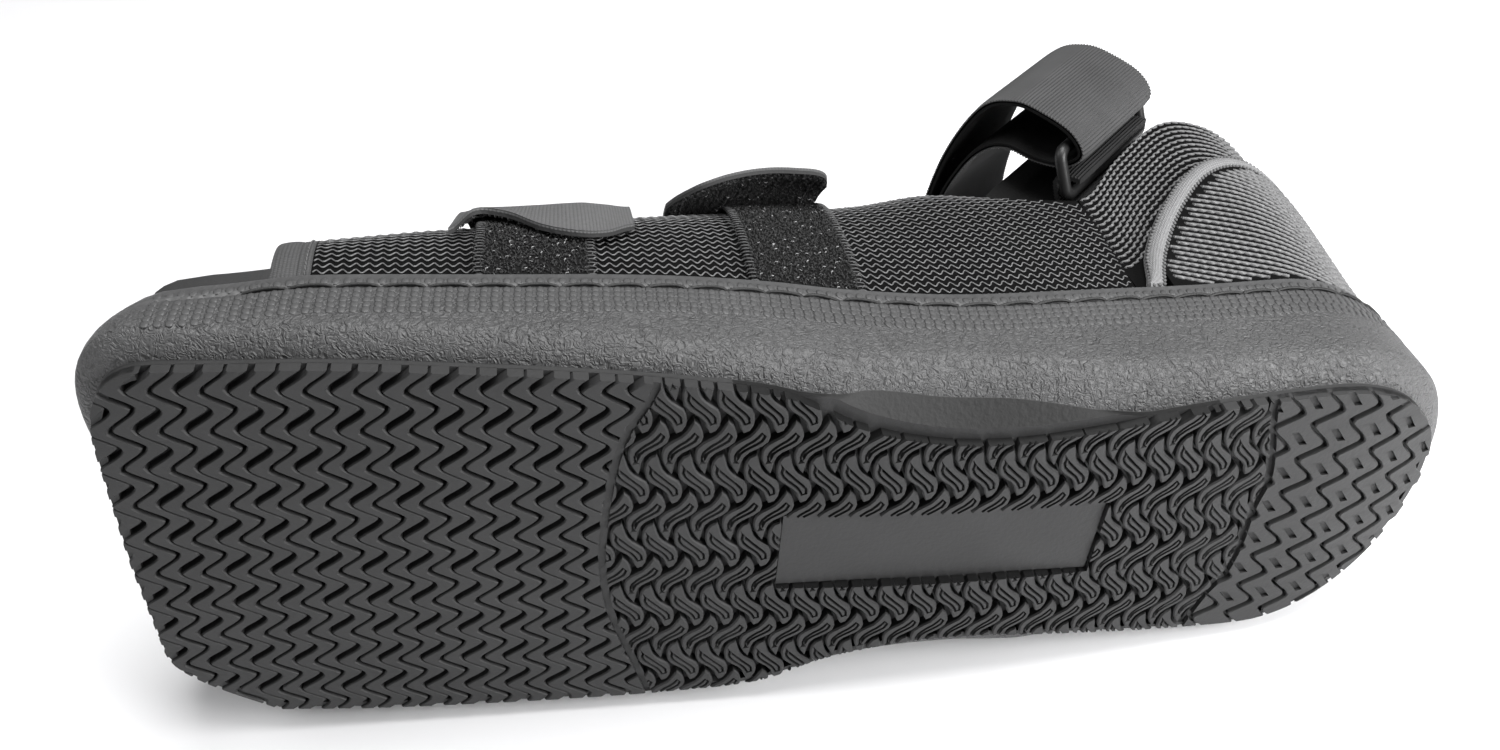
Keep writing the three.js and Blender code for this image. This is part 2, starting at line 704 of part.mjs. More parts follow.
function piece(name, geometry, colour, roughness) {
  const material = new THREE.MeshStandardMaterial({ color: colour, roughness, metalness: 0 });
  const mesh = new THREE.Mesh(geometry, material);
  mesh.name = name;
  return mesh;
}

const shoe = new THREE.Group();
shoe.add(
  piece('outsole', outsole(), COLOURS.tread, 0.75),
  piece('midsole', midsole(), COLOURS.wall, 0.6),
  piece('insole', insole(), COLOURS.insole, 0.9),
  piece('near_panel', sidePanel(NEAR), COLOURS.mesh, 0.85),
  piece('far_panel', sidePanel(FAR), COLOURS.mesh, 0.85),
  piece('near_toe_binding', toeBinding(NEAR), COLOURS.tape, 0.8),
  piece('far_toe_binding', toeBinding(FAR), COLOURS.tape, 0.8),
  piece('heel_collar', heelCollar(), COLOURS.mesh, 0.85),
  piece('heel_counter', heelCounter(), COLOURS.mesh, 0.85),
  piece('counter_binding', counterBinding(), COLOURS.binding, 0.8),
  piece('front_loop_patch', loopPatch(FRONT_PATCH), COLOURS.pile, 0.95),
  piece('rear_loop_patch', loopPatch(REAR_PATCH), COLOURS.pile, 0.95),
  piece('front_strap', forefootStrap(FRONT_STRAP), COLOURS.strap, 0.7),
  piece('rear_strap', forefootStrap(REAR_STRAP), COLOURS.strap, 0.7),
  piece('ankle_strap', ankleStrap(), COLOURS.webbing, 0.8),
  piece('ring_tab', ringTab(), COLOURS.webbing, 0.8),
  piece('ankle_ring', ankleRing(), COLOURS.plastic, 0.3),
);

// Laid on its far side, then moved so that the origin is on the floor under the middle of its box
const lying = new THREE.Group();
shoe.rotation.set(0, 0, LYING_YAW);
lying.rotation.set(LYING_ROLL - Math.PI / 2, 0, 0);
lying.add(shoe);
const part = new THREE.Group();
part.add(lying);
part.updateMatrixWorld(true);
const box = new THREE.Box3().setFromObject(part, true);
const middle = box.getCenter(new THREE.Vector3());
lying.position.set(-middle.x, -middle.y, -box.min.z);
part.updateMatrixWorld(true);

export default part;
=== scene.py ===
import math
import bmesh
import bpy
import numpy as np
from mathutils import Matrix
from mathutils.geometry import delaunay_2d_cdt


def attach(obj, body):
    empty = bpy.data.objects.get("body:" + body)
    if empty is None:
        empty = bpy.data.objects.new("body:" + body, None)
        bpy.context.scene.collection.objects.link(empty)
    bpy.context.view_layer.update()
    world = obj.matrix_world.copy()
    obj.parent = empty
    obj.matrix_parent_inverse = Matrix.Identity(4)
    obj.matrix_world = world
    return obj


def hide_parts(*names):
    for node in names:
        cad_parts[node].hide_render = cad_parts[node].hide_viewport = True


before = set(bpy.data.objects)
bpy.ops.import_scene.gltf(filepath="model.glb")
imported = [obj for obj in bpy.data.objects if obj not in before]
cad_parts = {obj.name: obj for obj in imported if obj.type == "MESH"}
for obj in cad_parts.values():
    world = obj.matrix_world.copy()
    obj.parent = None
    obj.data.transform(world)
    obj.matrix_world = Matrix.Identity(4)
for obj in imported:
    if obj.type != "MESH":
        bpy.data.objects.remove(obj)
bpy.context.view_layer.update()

# The shoe's own axes, in millimetres: x from toe to heel, y from the near side to the far side,
# z up from the tread. The shoe lies on its far side, so these turns and this place put it in the frame.
LYING_YAW = math.radians(4.3)
LYING_ROLL = math.radians(2.09)
SHOE_PLACE = np.array([-146.821, -75.323, 62.049])
MM = 0.001
NEAR = -1
FAR = 1


def turn_about_z(angle):
    c, s = math.cos(angle), math.sin(angle)
    return np.array([[c, -s, 0], [s, c, 0], [0, 0, 1]])


def turn_about_x(angle):
    c, s = math.cos(angle), math.sin(angle)
    return np.array([[1, 0, 0], [0, c, -s], [0, s, c]])


LYING = turn_about_x(LYING_ROLL - math.pi / 2) @ turn_about_z(LYING_YAW)


def to_frame(points):
    """Points of the shoe's own axes in the part's frame, in metres."""
    return (np.asarray(points, float) @ LYING.T + SHOE_PLACE) * MM


# Camera and studio
CAMERA_PLACE = (88.804, -212.221, -186.859)
CAMERA_RIGHT = (0.988015, -0.067757, -0.138695)
CAMERA_DOWN = (-0.037800, 0.764952, -0.642977)
CAMERA_FORWARD = (0.149661, 0.640514, 0.753222)
CAMERA_LENS = 31.2


def set_camera():
    data = bpy.data.cameras.new("camera")
    data.lens = CAMERA_LENS
    data.sensor_width = 36.0
    data.clip_start = 0.01
    camera = bpy.data.objects.new("camera", data)
    bpy.context.scene.collection.objects.link(camera)
    right = LYING @ np.array(CAMERA_RIGHT)
    up = -LYING @ np.array(CAMERA_DOWN)
    back = -LYING @ np.array(CAMERA_FORWARD)
    turn = Matrix(np.column_stack([right, up, back]).tolist()).to_4x4()
    camera.matrix_world = Matrix.Translation(to_frame(CAMERA_PLACE)) @ turn
    bpy.context.scene.camera = camera


def softbox(name, place, aim, size, watts):
    data = bpy.data.lights.new(name, "AREA")
    data.shape = "SQUARE"
    data.size = size
    data.energy = watts
    light = bpy.data.objects.new(name, data)
    bpy.context.scene.collection.objects.link(light)
    back = unit(np.array(place, float) - np.array(aim, float))
    side = unit(np.cross([0.0, 0.0, 1.0], back))
    turn = Matrix(np.column_stack([side, np.cross(back, side), back]).tolist()).to_4x4()
    light.matrix_world = Matrix.Translation(place) @ turn


BACKDROP = (0.93, 0.93, 0.94, 1)
BACKDROP_STRENGTH = 0.22
FLOOR_HALF = 3
# Lights: name, place, point it is aimed at, size, power
LIGHTS = (
    ("top light", (0.15, 0.0, 1.0), (0.02, 0, 0.05), 0.7, 13),
    ("heel light", (0.42, -0.34, 0.3), (0.14, 0, 0.05), 0.3, 4.5),
    ("toe light", (-0.9, 0.1, 0.8), (0, 0, 0.05), 0.6, 3),
)


def set_studio():
    world = bpy.data.worlds.new("studio")
    bpy.context.scene.world = world
    world.use_nodes = True
    backdrop = world.node_tree.nodes["Background"]
    backdrop.inputs["Color"].default_value = BACKDROP
    backdrop.inputs["Strength"].default_value = BACKDROP_STRENGTH
    for light in LIGHTS:
        softbox(*light)
    bpy.context.scene.view_settings.view_transform = "Standard"
    mesh = bpy.data.meshes.new("floor")
    corners = [(-1, -1), (1, -1), (1, 1), (-1, 1)]
    mesh.from_pydata([(x * FLOOR_HALF, y * FLOOR_HALF, 0) for x, y in corners], [], [(0, 1, 2, 3)])
    mesh.materials.append(plain_finish("pale floor", 0.86, 0.9))
    link_piece("floor", mesh)


# Node materials
CLOTH_GLOSS = 0.12
KNIT_GLOSS = 0.05
TREAD_GLOSS = 0.3
GRAIN_DEPTH = 0.0004
WALL_TONES = (0.048, 0.078)
WALL_SCALE_SPREAD = (48, 36, 1)
WALL_RELIEF_DEPTH = 0.0007
# Painted shade on facets under the arch: reach along the frame, how fast it grows as they turn up, how dark
# it gets
ARCH_FACET = (-0.02, 0.085)
ARCH_TURN = 1.6
ARCH_PAINTED_SHADE = 0.86


def grey(value):
    return (value, value, value * 1.01, 1)


def add_node(material, kind, inputs=None, **settings):
    return tree_node(material.node_tree, kind, inputs, **settings)


def math_node(material, operation, *values):
    return tree_math(material.node_tree, operation, *values)


def noise(material, place, scale, detail=2.0, distortion=0.0):
    """Amount of a noise pattern at a place."""
    inputs = {"Vector": place, "Scale": scale, "Detail": detail, "Distortion": distortion}
    return add_node(material, "ShaderNodeTexNoise", inputs).outputs["Fac"]


def shader_of(material):
    return material.node_tree.nodes["Principled BSDF"]


def join_finish(material, output, socket):
    material.node_tree.links.new(output, shader_of(material).inputs[socket])


def plain_finish(name, tone, roughness, gloss=0.5):
    material = bpy.data.materials.new(name)
    material.use_nodes = True
    shader = shader_of(material)
    shader.inputs["Base Color"].default_value = grey(tone)
    shader.inputs["Roughness"].default_value = roughness
    shader.inputs["Specular IOR Level"].default_value = gloss
    return material


def add_tone(material, amount, dark, light):
    """Gives a finish a grey between two tones, by an amount from another node."""
    ramp = add_node(material, "ShaderNodeValToRGB", {"Fac": amount})
    ramp.color_ramp.elements[0].color = grey(dark)
    ramp.color_ramp.elements[1].color = grey(light)
    join_finish(material, ramp.outputs["Color"], "Base Color")


def add_relief(material, height, strength, depth, invert=False):
    """Gives a finish the relief of another node's heights."""
    inputs = {"Height": height, "Strength": strength, "Distance": depth}
    bump = add_node(material, "ShaderNodeBump", inputs, invert=invert)
    join_finish(material, bump.outputs["Normal"], "Normal")


def rubber_finish(name, dark, light, roughness, grain, relief, gloss=0.5):
    """Moulded rubber or plain cloth: faint cloudy tone, fine grain in its relief."""
    material = plain_finish(name, light, roughness, gloss)
    place = add_node(material, "ShaderNodeTexCoord").outputs["Object"]
    add_tone(material, noise(material, place, 60.0, 4.0), dark, light)
    add_relief(material, noise(material, place, grain), relief, GRAIN_DEPTH)
    return material


def tread_finish(name, dark, light, roughness, grain, relief):
    """Outsole rubber, with painted shade on the smooth facets under the arch, which face the near side."""
    material = rubber_finish(name, dark, light, roughness, grain, relief, TREAD_GLOSS)
    tone = shader_of(material).inputs["Base Color"].links[0].from_socket
    place = add_node(material, "ShaderNodeTexCoord").outputs["Object"]
    along = add_node(material, "ShaderNodeSeparateXYZ", {"Vector": place}).outputs["X"]
    facing = add_node(material, "ShaderNodeNewGeometry").outputs["Normal"]
    upward = add_node(material, "ShaderNodeSeparateXYZ", {"Vector": facing}).outputs["Z"]
    # Painted shade: faces turned up near the arch get a darker base colour, standing in for the wall's
    # shadow.
    middle = sum(ARCH_FACET) / 2
    away = math_node(material, "ABSOLUTE", math_node(material, "SUBTRACT", along, middle))
    reach = math_node(material, "LESS_THAN", away, ARCH_FACET[1] - middle)
    turned = math_node(material, "MULTIPLY", upward, ARCH_TURN)
    share = math_node(material, "MULTIPLY", reach, math_node(material, "MINIMUM", turned, 1.0))
    keep = math_node(material, "SUBTRACT", 1.0, math_node(material, "MULTIPLY", share, ARCH_PAINTED_SHADE))
    shade = add_node(material, "ShaderNodeVectorMath", {0: tone, "Scale": keep}, operation="SCALE")
    join_finish(material, shade.outputs["Vector"], "Base Color")
    return material


def wall_finish():
    """Foam rubber of the side wall: rows of small scales under the rim, wrinkled grain lower down."""
    material = plain_finish("wall rubber", WALL_TONES[1], 0.5)
    place = add_node(material, "ShaderNodeTexCoord")
    on_wall, in_frame = place.outputs["UV"], place.outputs["Object"]
    spread = add_node(material, "ShaderNodeMapping", {"Vector": on_wall, "Scale": WALL_SCALE_SPREAD})
    scales = add_node(material, "ShaderNodeTexVoronoi", {
        "Vector": spread.outputs["Vector"], "Scale": 1.0, "Randomness": 0.35,
    }, feature="SMOOTH_F1", voronoi_dimensions="2D")
    warp = noise(material, in_frame, 620.0, distortion=0.9)
    ridge = math_node(material, "ABSOLUTE", math_node(material, "SUBTRACT", warp, 0.5))
    wrinkles = math_node(material, "MULTIPLY", ridge, 2.6)
    below = add_node(material, "ShaderNodeSeparateXYZ", {"Vector": on_wall}).outputs["Y"]
    border = math_node(material, "MULTIPLY_ADD", noise(material, in_frame, 25.0), 0.08, 0.06)
    lower = add_node(material, "ShaderNodeMapRange", {
        "Value": math_node(material, "SUBTRACT", below, border), "From Min": -0.02, "From Max": 0.02,
    }).outputs["Result"]
    height = add_node(material, "ShaderNodeMix", {0: lower, 2: scales.outputs["Distance"], 3: wrinkles})
    add_relief(material, height.outputs[0], 0.9, WALL_RELIEF_DEPTH, invert=True)
    add_tone(material, noise(material, in_frame, 40.0, 5.0), *WALL_TONES)
    return material


def thread_finish(name, dark, light, roughness):
    """Spun thread: tone that varies from fibre to fibre, fine twist in its relief."""
    material = plain_finish(name, light, roughness)
    place = add_node(material, "ShaderNodeTexCoord").outputs["Object"]
    add_tone(material, noise(material, place, 700.0), dark, light)
    add_relief(material, noise(material, place, 2600.0, 1.0), 0.35, GRAIN_DEPTH / 2)
    return material


def weave_finish(name, dark, light, roughness, pitch):
    """Plain woven tape: crossing threads at a pitch in millimetres, in tone and relief, with some fuzz."""
    material = plain_finish(name, light, roughness, CLOTH_GLOSS)
    place = add_node(material, "ShaderNodeTexCoord")
    parts = add_node(material, "ShaderNodeSeparateXYZ", {"Vector": place.outputs["UV"]})
    turns = math.pi / (pitch * UV_PER_MM)
    waves = []
    for axis in "XY":
        angle = math_node(material, "MULTIPLY", parts.outputs[axis], turns)
        waves.append(math_node(material, "SINE", angle))
    grid = math_node(material, "ABSOLUTE", math_node(material, "MULTIPLY", *waves))
    fuzz = math_node(material, "MULTIPLY", noise(material, place.outputs["Object"], 900.0, 3.0), 0.5)
    amount = math_node(material, "MULTIPLY_ADD", grid, 0.6, fuzz)
    add_tone(material, amount, dark, light)
    add_relief(material, amount, 0.6, GRAIN_DEPTH)
    return material


# Meshes
UV_PER_MM = 0.01


def unit(vectors):
    return vectors / np.linalg.norm(vectors, axis=-1, keepdims=True)


def headings(line):
    """Direction of a line at each of its points."""
    return unit(np.gradient(line, axis=0))


def smooth_step(share):
    return share * share * (3 - 2 * share)


def lerp(a, b, t):
    return a + (b - a) * t
def link_piece(name, mesh):
    piece = bpy.data.objects.new(name, mesh)
    bpy.context.scene.collection.objects.link(piece)
    return piece


def volume_of(points, faces):
    """Signed volume inside closed faces, to tell whether they face outwards."""
    total = 0.0
    for face in faces:
        corner = points[face[0]]
        for b, c in zip(face[1:-1], face[2:]):
            total += np.dot(corner, np.cross(points[b], points[c]))
    return total


def mesh_from(name, points, faces, corner_uv=None, angle=40):
    """A mesh in the frame from points in the shoe's axes, facing outwards and smooth up to an angle."""
    placed = to_frame(points)
    centred = placed - placed.mean(axis=0)
    if volume_of(centred, faces) < 0:
        faces = [face[::-1] for face in faces]
        corner_uv = corner_uv and [corners[::-1] for corners in corner_uv]
    mesh = bpy.data.meshes.new(name)
    mesh.from_pydata(placed.tolist(), [], faces)
    if corner_uv:
        layer = mesh.uv_layers.new(name="UVMap")
        layer.data.foreach_set("uv", np.array(corner_uv, np.float32).ravel())
    mesh.shade_smooth()
    mesh.set_sharp_from_angle(angle=math.radians(angle))
    return mesh


def loft(rings, along=None):
    """Points, faces and corner coordinates of a tube through rings of equal length.
    Each end is closed by strips between the two halves of its ring."""
    rings = np.asarray(rings, float)
    count, size = rings.shape[:2]
    if along is None:
        steps = np.linalg.norm(np.diff(rings, axis=0), axis=2).mean(axis=1)
        along = np.concatenate([[0], np.cumsum(steps)])
    looped = np.concatenate([rings, rings[:, :1]], axis=1)
    steps = np.linalg.norm(np.diff(looped, axis=1), axis=2).mean(axis=0)
    around = np.concatenate([[0], np.cumsum(steps)]) * UV_PER_MM
    along = np.asarray(along) * UV_PER_MM
    faces = []
    corner_uv = []
    for r in range(count - 1):
        for i in range(size):
            n = (i + 1) % size
            faces.append((r * size + i, r * size + n, (r + 1) * size + n, (r + 1) * size + i))
            u0, u1, v0, v1 = around[i], around[i + 1], along[r], along[r + 1]
            corner_uv.append(((u0, v0), (u1, v0), (u1, v1), (u0, v1)))
    last = (count - 1) * size
    for i in range(size // 2 - 1):
        across = size - 1 - i
        faces.append((i, across, across - 1, i + 1))
        faces.append((last + i, last + i + 1, last + across - 1, last + across))
        corner_uv.extend([((0, 0),) * 4] * 2)
    return rings.reshape(-1, 3), faces, corner_uv


def place_piece(piece, material, slot, *nodes):
    piece.data.materials.clear()
    piece.data.materials.append(material)
    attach(piece, "root")
    if nodes:
        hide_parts(*nodes)
    return piece


def make_piece(name, shape, finish, slot, *nodes, angle=50):
    """A piece from a shape's points, faces and corner coordinates."""
    return place_piece(link_piece(name, mesh_from(name, *shape, angle=angle)), finish, slot, *nodes)


# Driving dimensions of the sole
TOE_CORNER_LENGTH = 22
TOE_FRONT_HALF = 30
TOE_FRONT = 0.8
TOE_FRONT_BOW = 0.8
TOE_REACH = 6
TOE_FULLNESS = 0.2
NEAR_TOE_CORNER = {"roundness": 0.5, "tuck": 5}
FAR_TOE_CORNER = {"roundness": 2.4, "tuck": 3}
HEEL_CENTRE = 257
HEEL_REACH = 5.4
OUTSOLE_THICKNESS = 3.5
ROCKER_MIDDLE = 178.5
ROCKER_HALF_LENGTH = 30
ROCKER_SLOPE = math.tan(math.radians(3.5))
HEEL_ROLL_START = 258
HEEL_ROLL_LENGTH = 36
HEEL_ROLL_RISE = 5
RIM_THICKNESS = 3
SEAT_DEPTH = 7
WALL_BULGE_HEIGHT = 0.2
RIM_TUCK = 1.2
FIT_GAP = 0.3

# Half widths along the sole: station, tread's edge, rim of the wall
SOLE = [
    (22, 51.8, 56.2), (45, 52.2, 56.6), (70, 51.4, 55.8), (95, 50.0, 54.4), (115, 48.2, 52.4),
    (136, 44.6, 49.4), (150, 37.0, 47.2), (168, 32.2, 45.5), (185, 31.4, 44.6), (203, 33.2, 43.8),
    (222, 35.6, 42.8), (240, 37.2, 42.2), (257, 38.0, 42.2),
]
# Rim: station, height
RIM = [(-4, 33), (80, 33), (135, 36), (180, 35.6), (222, 39), (256, 41.3), (298, 43.5)]
# Facet under the wall at the arch: station, how far out, how far up
ARCH = [(136, 0, 0), (150, 6.2, 5), (168, 7.6, 6.4), (185, 7.2, 6.2), (203, 3.2, 3.2), (216, 0, 0)]


def column(rows, place):
    """Smooth line through one column of a table, level beyond its ends."""
    stations = np.array([row[0] for row in rows], float)
    values = np.array([row[place] for row in rows], float)
    last = len(rows) - 1

    def at(x):
        x = np.clip(np.asarray(x, float), stations[0], stations[-1])
        i = np.clip(np.searchsorted(stations, x, side="right"), 1, last)
        t0, t1, v0, v1 = stations[i - 1], stations[i], values[i - 1], values[i]
        before, after = np.maximum(i - 2, 0), np.minimum(i + 1, last)
        tp = np.where(i == 1, 2 * t0 - t1, stations[before])
        vp = np.where(i == 1, v1, values[before])
        tn = np.where(i == last, 2 * t1 - t0, stations[after])
        vn = np.where(i == last, v0, values[after])
        wp, wn = (t1 - t0) / 2 / (t0 - tp), (t1 - t0) / 2 / (tn - t1)
        p = (x - t0) / (t1 - t0)
        sp = -wp * p**3 + 2 * wp * p**2 - wp * p
        s0 = (1 + wp) * p**3 + (-1.5 - 2 * wp) * p**2 + (-0.5 + wp) * p + 1
        s1 = (-1 - wn) * p**3 + (1.5 + wn) * p**2 + 0.5 * p
        sn = wn * p**3 - wn * p**2
        return sp * vp + s0 * v0 + s1 * v1 + sn * vn

    return at


tread_half = column(SOLE, 1)
wall_half = column(SOLE, 2)
rim_course = column(RIM, 1)
TOE_RIM_DROP = 2.6
TOE_RIM_DROP_END = 44
TOE_RIM_DROP_LENGTH = 26


def rim_height(x):
    """Height of the wall's rim, which dips a little round the toe so that the insole's edge shows."""
    share = np.clip((TOE_RIM_DROP_END - np.asarray(x, float)) / TOE_RIM_DROP_LENGTH, 0, 1)
    return rim_course(x) - TOE_RIM_DROP * smooth_step(share)


arch_out = column(ARCH, 1)
arch_rise = column(ARCH, 2)


def tread_height(x):
    x = np.asarray(x, float)
    away = np.abs(x - ROCKER_MIDDLE)
    curved = ROCKER_SLOPE * away**2 / (2 * ROCKER_HALF_LENGTH)
    straight = ROCKER_SLOPE * (away - ROCKER_HALF_LENGTH / 2)
    roll = np.maximum((x - HEEL_ROLL_START) / HEEL_ROLL_LENGTH, 0)
    return np.where(away < ROCKER_HALF_LENGTH, curved, straight) + HEEL_ROLL_RISE * roll**2


def half_outline(toe_corner, toe, corner, side, heel):
    """Stations round half the tread's edge from toe to heel: place, outward direction, how far the rim is
    out, how full the wall is, and how far its rim is tucked in."""
    rows = []
    for i in range(toe):
        y = TOE_FRONT_HALF * (i + 0.5) / toe
        x = TOE_FRONT + TOE_FRONT_BOW * (y / TOE_FRONT_HALF - 1)
        rows.append((x, y, -1, 0, TOE_REACH, TOE_FULLNESS, RIM_TUCK))
    corner_width = tread_half(TOE_CORNER_LENGTH) - TOE_FRONT_HALF
    side_reach = wall_half(TOE_CORNER_LENGTH) - tread_half(TOE_CORNER_LENGTH)
    for turn in np.arange(corner) / corner * math.pi / 2:
        s, c = math.sin(turn), math.cos(turn)
        x = lerp(TOE_CORNER_LENGTH, TOE_FRONT, c ** toe_corner["roundness"])
        y = TOE_FRONT_HALF + corner_width * s
        tuck = toe_corner["tuck"] * math.sin(2 * turn)
        reach = lerp(side_reach, TOE_REACH, c) - tuck
        rows.append((x, y, -c, s, reach, lerp(TOE_FULLNESS, 1, s), RIM_TUCK + tuck))
    for x in lerp(TOE_CORNER_LENGTH, HEEL_CENTRE, np.arange(side) / side):
        slope = tread_half(x + 0.5) - tread_half(x - 0.5)
        rows.append((x, tread_half(x), -0.5 * slope, 1, wall_half(x) - tread_half(x), 1, RIM_TUCK))
    radius = tread_half(HEEL_CENTRE)
    heel_side = wall_half(HEEL_CENTRE) - radius
    for turn in (np.arange(heel) + 0.5 * np.arange(heel) / heel) / heel * math.pi / 2:
        s, c = math.sin(turn), math.cos(turn)
        reach = lerp(heel_side, HEEL_REACH, s)
        rows.append((HEEL_CENTRE + radius * s, radius * c, s, c, reach, 1, RIM_TUCK))
    table = np.array(rows, float)
    table[:, 2:4] = unit(table[:, 2:4])
    return table


OUTLINE_STEPS = {"toe": 6, "corner": 14, "side": 96, "heel": 26}
NEAR_OUTLINE = half_outline(NEAR_TOE_CORNER, **OUTLINE_STEPS)
FAR_OUTLINE = half_outline(FAR_TOE_CORNER, **OUTLINE_STEPS)


def wall_out(stations, height):
    """How far the wall stands out from the tread's edge at a height above the tread."""
    x, reach, fullness, tuck = stations[:, 0], stations[:, 4], stations[:, 5], stations[:, 6]
    out, rise = arch_out(x), arch_rise(x)
    base = np.maximum(rise, OUTSOLE_THICKNESS)
    wall = rim_height(x) - tread_height(x)
    share = np.clip((height - base) / (wall - base), 0, 1)
    below = 1 - np.minimum(share / WALL_BULGE_HEIGHT, 1)
    above = np.maximum((share - WALL_BULGE_HEIGHT) / (1 - WALL_BULGE_HEIGHT), 0)
    bulged = (reach + tuck - out) * (1 - below**2) - tuck * above**2
    sloping = (reach - out) * share
    facet = out * height / np.maximum(rise, 1e-6)
    return np.where(height < rise, facet, out + lerp(sloping, bulged, fullness))


def side_points(stations, side, grow, z):
    """Points along one side of the sole, at distances out from the tread's edge and heights."""
    x = stations[:, 0] + stations[:, 2] * grow
    y = side * (stations[:, 1] + stations[:, 3] * grow)
    return np.column_stack([x, y, np.broadcast_to(z, x.shape)])


def sole_ring(level):
    """A closed ring round the sole, near side first. The level gives the distances out from the tread's edge
    and the heights at stations."""
    near = side_points(NEAR_OUTLINE, NEAR, *level(NEAR_OUTLINE))
    far = side_points(FAR_OUTLINE, FAR, *level(FAR_OUTLINE))
    return np.concatenate([near, far[::-1]])


# Tread: a slab with the grooves' floor, and lugs that stand on it
GROOVE_DEPTH = 2.4
LUG_SINK = 0.15
LUG_EDGE_ROUND = 0.35

# Borders between the tread's zones: station, place across
FOREFOOT_BORDER = [
    (109.4, -56), (108.2, -46.3), (105.8, -41.6), (102.1, -33.6), (99.7, -21.8), (98.0, -5.6), (98.0, 6.6),
    (99.7, 19.6), (103.1, 30.8), (107.7, 45.3), (110.5, 56),
]
HEEL_BORDER = [
    (241.5, -44), (242.2, -33.8), (245.7, -23.0), (248.0, -13.4), (247.4, -3.9), (248.3, 8.2), (247.5, 18.9),
    (244.8, 25.0), (242.8, 32.0), (240, 44),
]
BORDER_HALF_WIDTH = 0.8
LABEL_RECESS = {"start": 136.5, "end": 209.5, "half": 11, "depth": 1.1}


def smooth_line(points, count, closed=False):
    """Evenly spaced points on a smooth line through given points."""
    points = np.asarray(points, float)
    if closed:
        padded = np.concatenate([points[-1:], points, points[:2]])
    else:
        padded = np.concatenate([2 * points[:1] - points[1:2], points, 2 * points[-1:] - points[-2:-1]])
    t = np.linspace(0, 1, 12, endpoint=False)[:, None]
    pieces = []
    for a, b, c, d in zip(padded[:-3], padded[1:-2], padded[2:-1], padded[3:]):
        pieces.append(
            0.5 * (2 * b + (c - a) * t + (2 * a - 5 * b + 4 * c - d) * t**2 + (3 * b - a - 3 * c + d) * t**3)
        )
    fine = np.concatenate(pieces + [padded[-2:-1]])
    lengths = np.concatenate([[0], np.cumsum(np.linalg.norm(np.diff(fine, axis=0), axis=1))])
    at = np.linspace(0, lengths[-1], count, endpoint=not closed)
    return np.column_stack([np.interp(at, lengths, fine[:, k]) for k in range(points.shape[1])])


def flat_object(name, points, faces):
    """A helper object in the tread's own flat plane, in millimetres, facing outwards."""
    mesh = bpy.data.meshes.new(name)
    mesh.from_pydata(np.asarray(points, float).tolist(), [], [tuple(face) for face in faces])
    shape = bmesh.new()
    shape.from_mesh(mesh)
    bmesh.ops.recalc_face_normals(shape, faces=shape.faces)
    shape.to_mesh(mesh)
    shape.free()
    return link_piece(name, mesh)


def modified_copy(piece):
    """A plain mesh of a piece as its modifiers leave it."""
    graph = bpy.context.evaluated_depsgraph_get()
    graph.update()
    return bpy.data.meshes.new_from_object(piece.evaluated_get(graph))


def cut(piece, cutter, operation):
    change = piece.modifiers.new("cut", "BOOLEAN")
    change.operation = operation
    change.solver = "MANIFOLD"
    change.object = cutter
    mesh = modified_copy(piece)
    piece.modifiers.remove(change)
    piece.data = mesh


def remove(*pieces):
    for piece in pieces:
        bpy.data.objects.remove(piece)


def bend_onto_rocker(piece, name):
    """Carries a flat relief onto the bent tread, its heights counted up from the tread's face."""
    points = np.zeros(len(piece.data.vertices) * 3)
    piece.data.vertices.foreach_get("co", points)
    points = points.reshape(-1, 3)
    points[:, 2] += tread_height(points[:, 0])
    faces = [tuple(face.vertices) for face in piece.data.polygons]
    remove(piece)
    return link_piece(name, mesh_from(name, points, faces, angle=30))


# Zigzag grooves: where each set of lines starts, its pitch, and the half width of each leg
ZIGZAG_PERIOD = 10.14
ZIGZAG_SWING = 2.65
ZIGZAG_STEPS = 16
ZIGZAG_SHARPNESS = 0.78
LEG_FULLNESS = 0.6
ZIGZAG_REACH = 62
FOREFOOT_PITCH = 9.36
FOREFOOT_FIRST = 7.48
FOREFOOT_SECOND = 4.7
FOREFOOT_COUNT = 12
FOREFOOT_TURN = 0.43
FOREFOOT_START = -46.83
FOREFOOT_FIRST_LEGS = (1.15, 0.34)
FOREFOOT_SECOND_LEGS = (0.18, 1.15)
HEEL_PERIOD = 10.6
HEEL_PITCH = 9.6
HEEL_FIRST = 246.3
HEEL_COUNT = 6
HEEL_TURN = 0.6
HEEL_START = -18.85
HEEL_LEGS = (0.42, 1.9)
DASH_PLACE = 4.4
DASH_SPAN = (0.16, 0.54)
DASH_HALF = 0.95
DASH_DEPTH = 0.8
DASH_ROWS = 9
DASH_FIRST_ROW = -4
HEEL_GROOVE_DEPTH = 1.2


def zigzag(y, start, period, turn):
    """Swing of a zigzag line with rounded turns, from -1 to 1, and how far it is along each of its two legs,
    most at the leg's middle."""
    p = ((np.asarray(y, float) - start) / period) % 1
    phase = np.where(p < turn, p / turn - 0.5, 0.5 + (p - turn) / (1 - turn)) * math.pi
    swing = np.arcsin(ZIGZAG_SHARPNESS * np.sin(phase)) / math.asin(ZIGZAG_SHARPNESS)
    lean = np.cos(phase)
    return swing, np.maximum(lean, 0) ** LEG_FULLNESS, np.maximum(-lean, 0) ** LEG_FULLNESS


def leg_width(side, first, second):
    """Half width of a groove along its legs, narrow at the turns."""
    narrow = min(side[1], side[2])
    return narrow + (side[1] - narrow) * first + (side[2] - narrow) * second


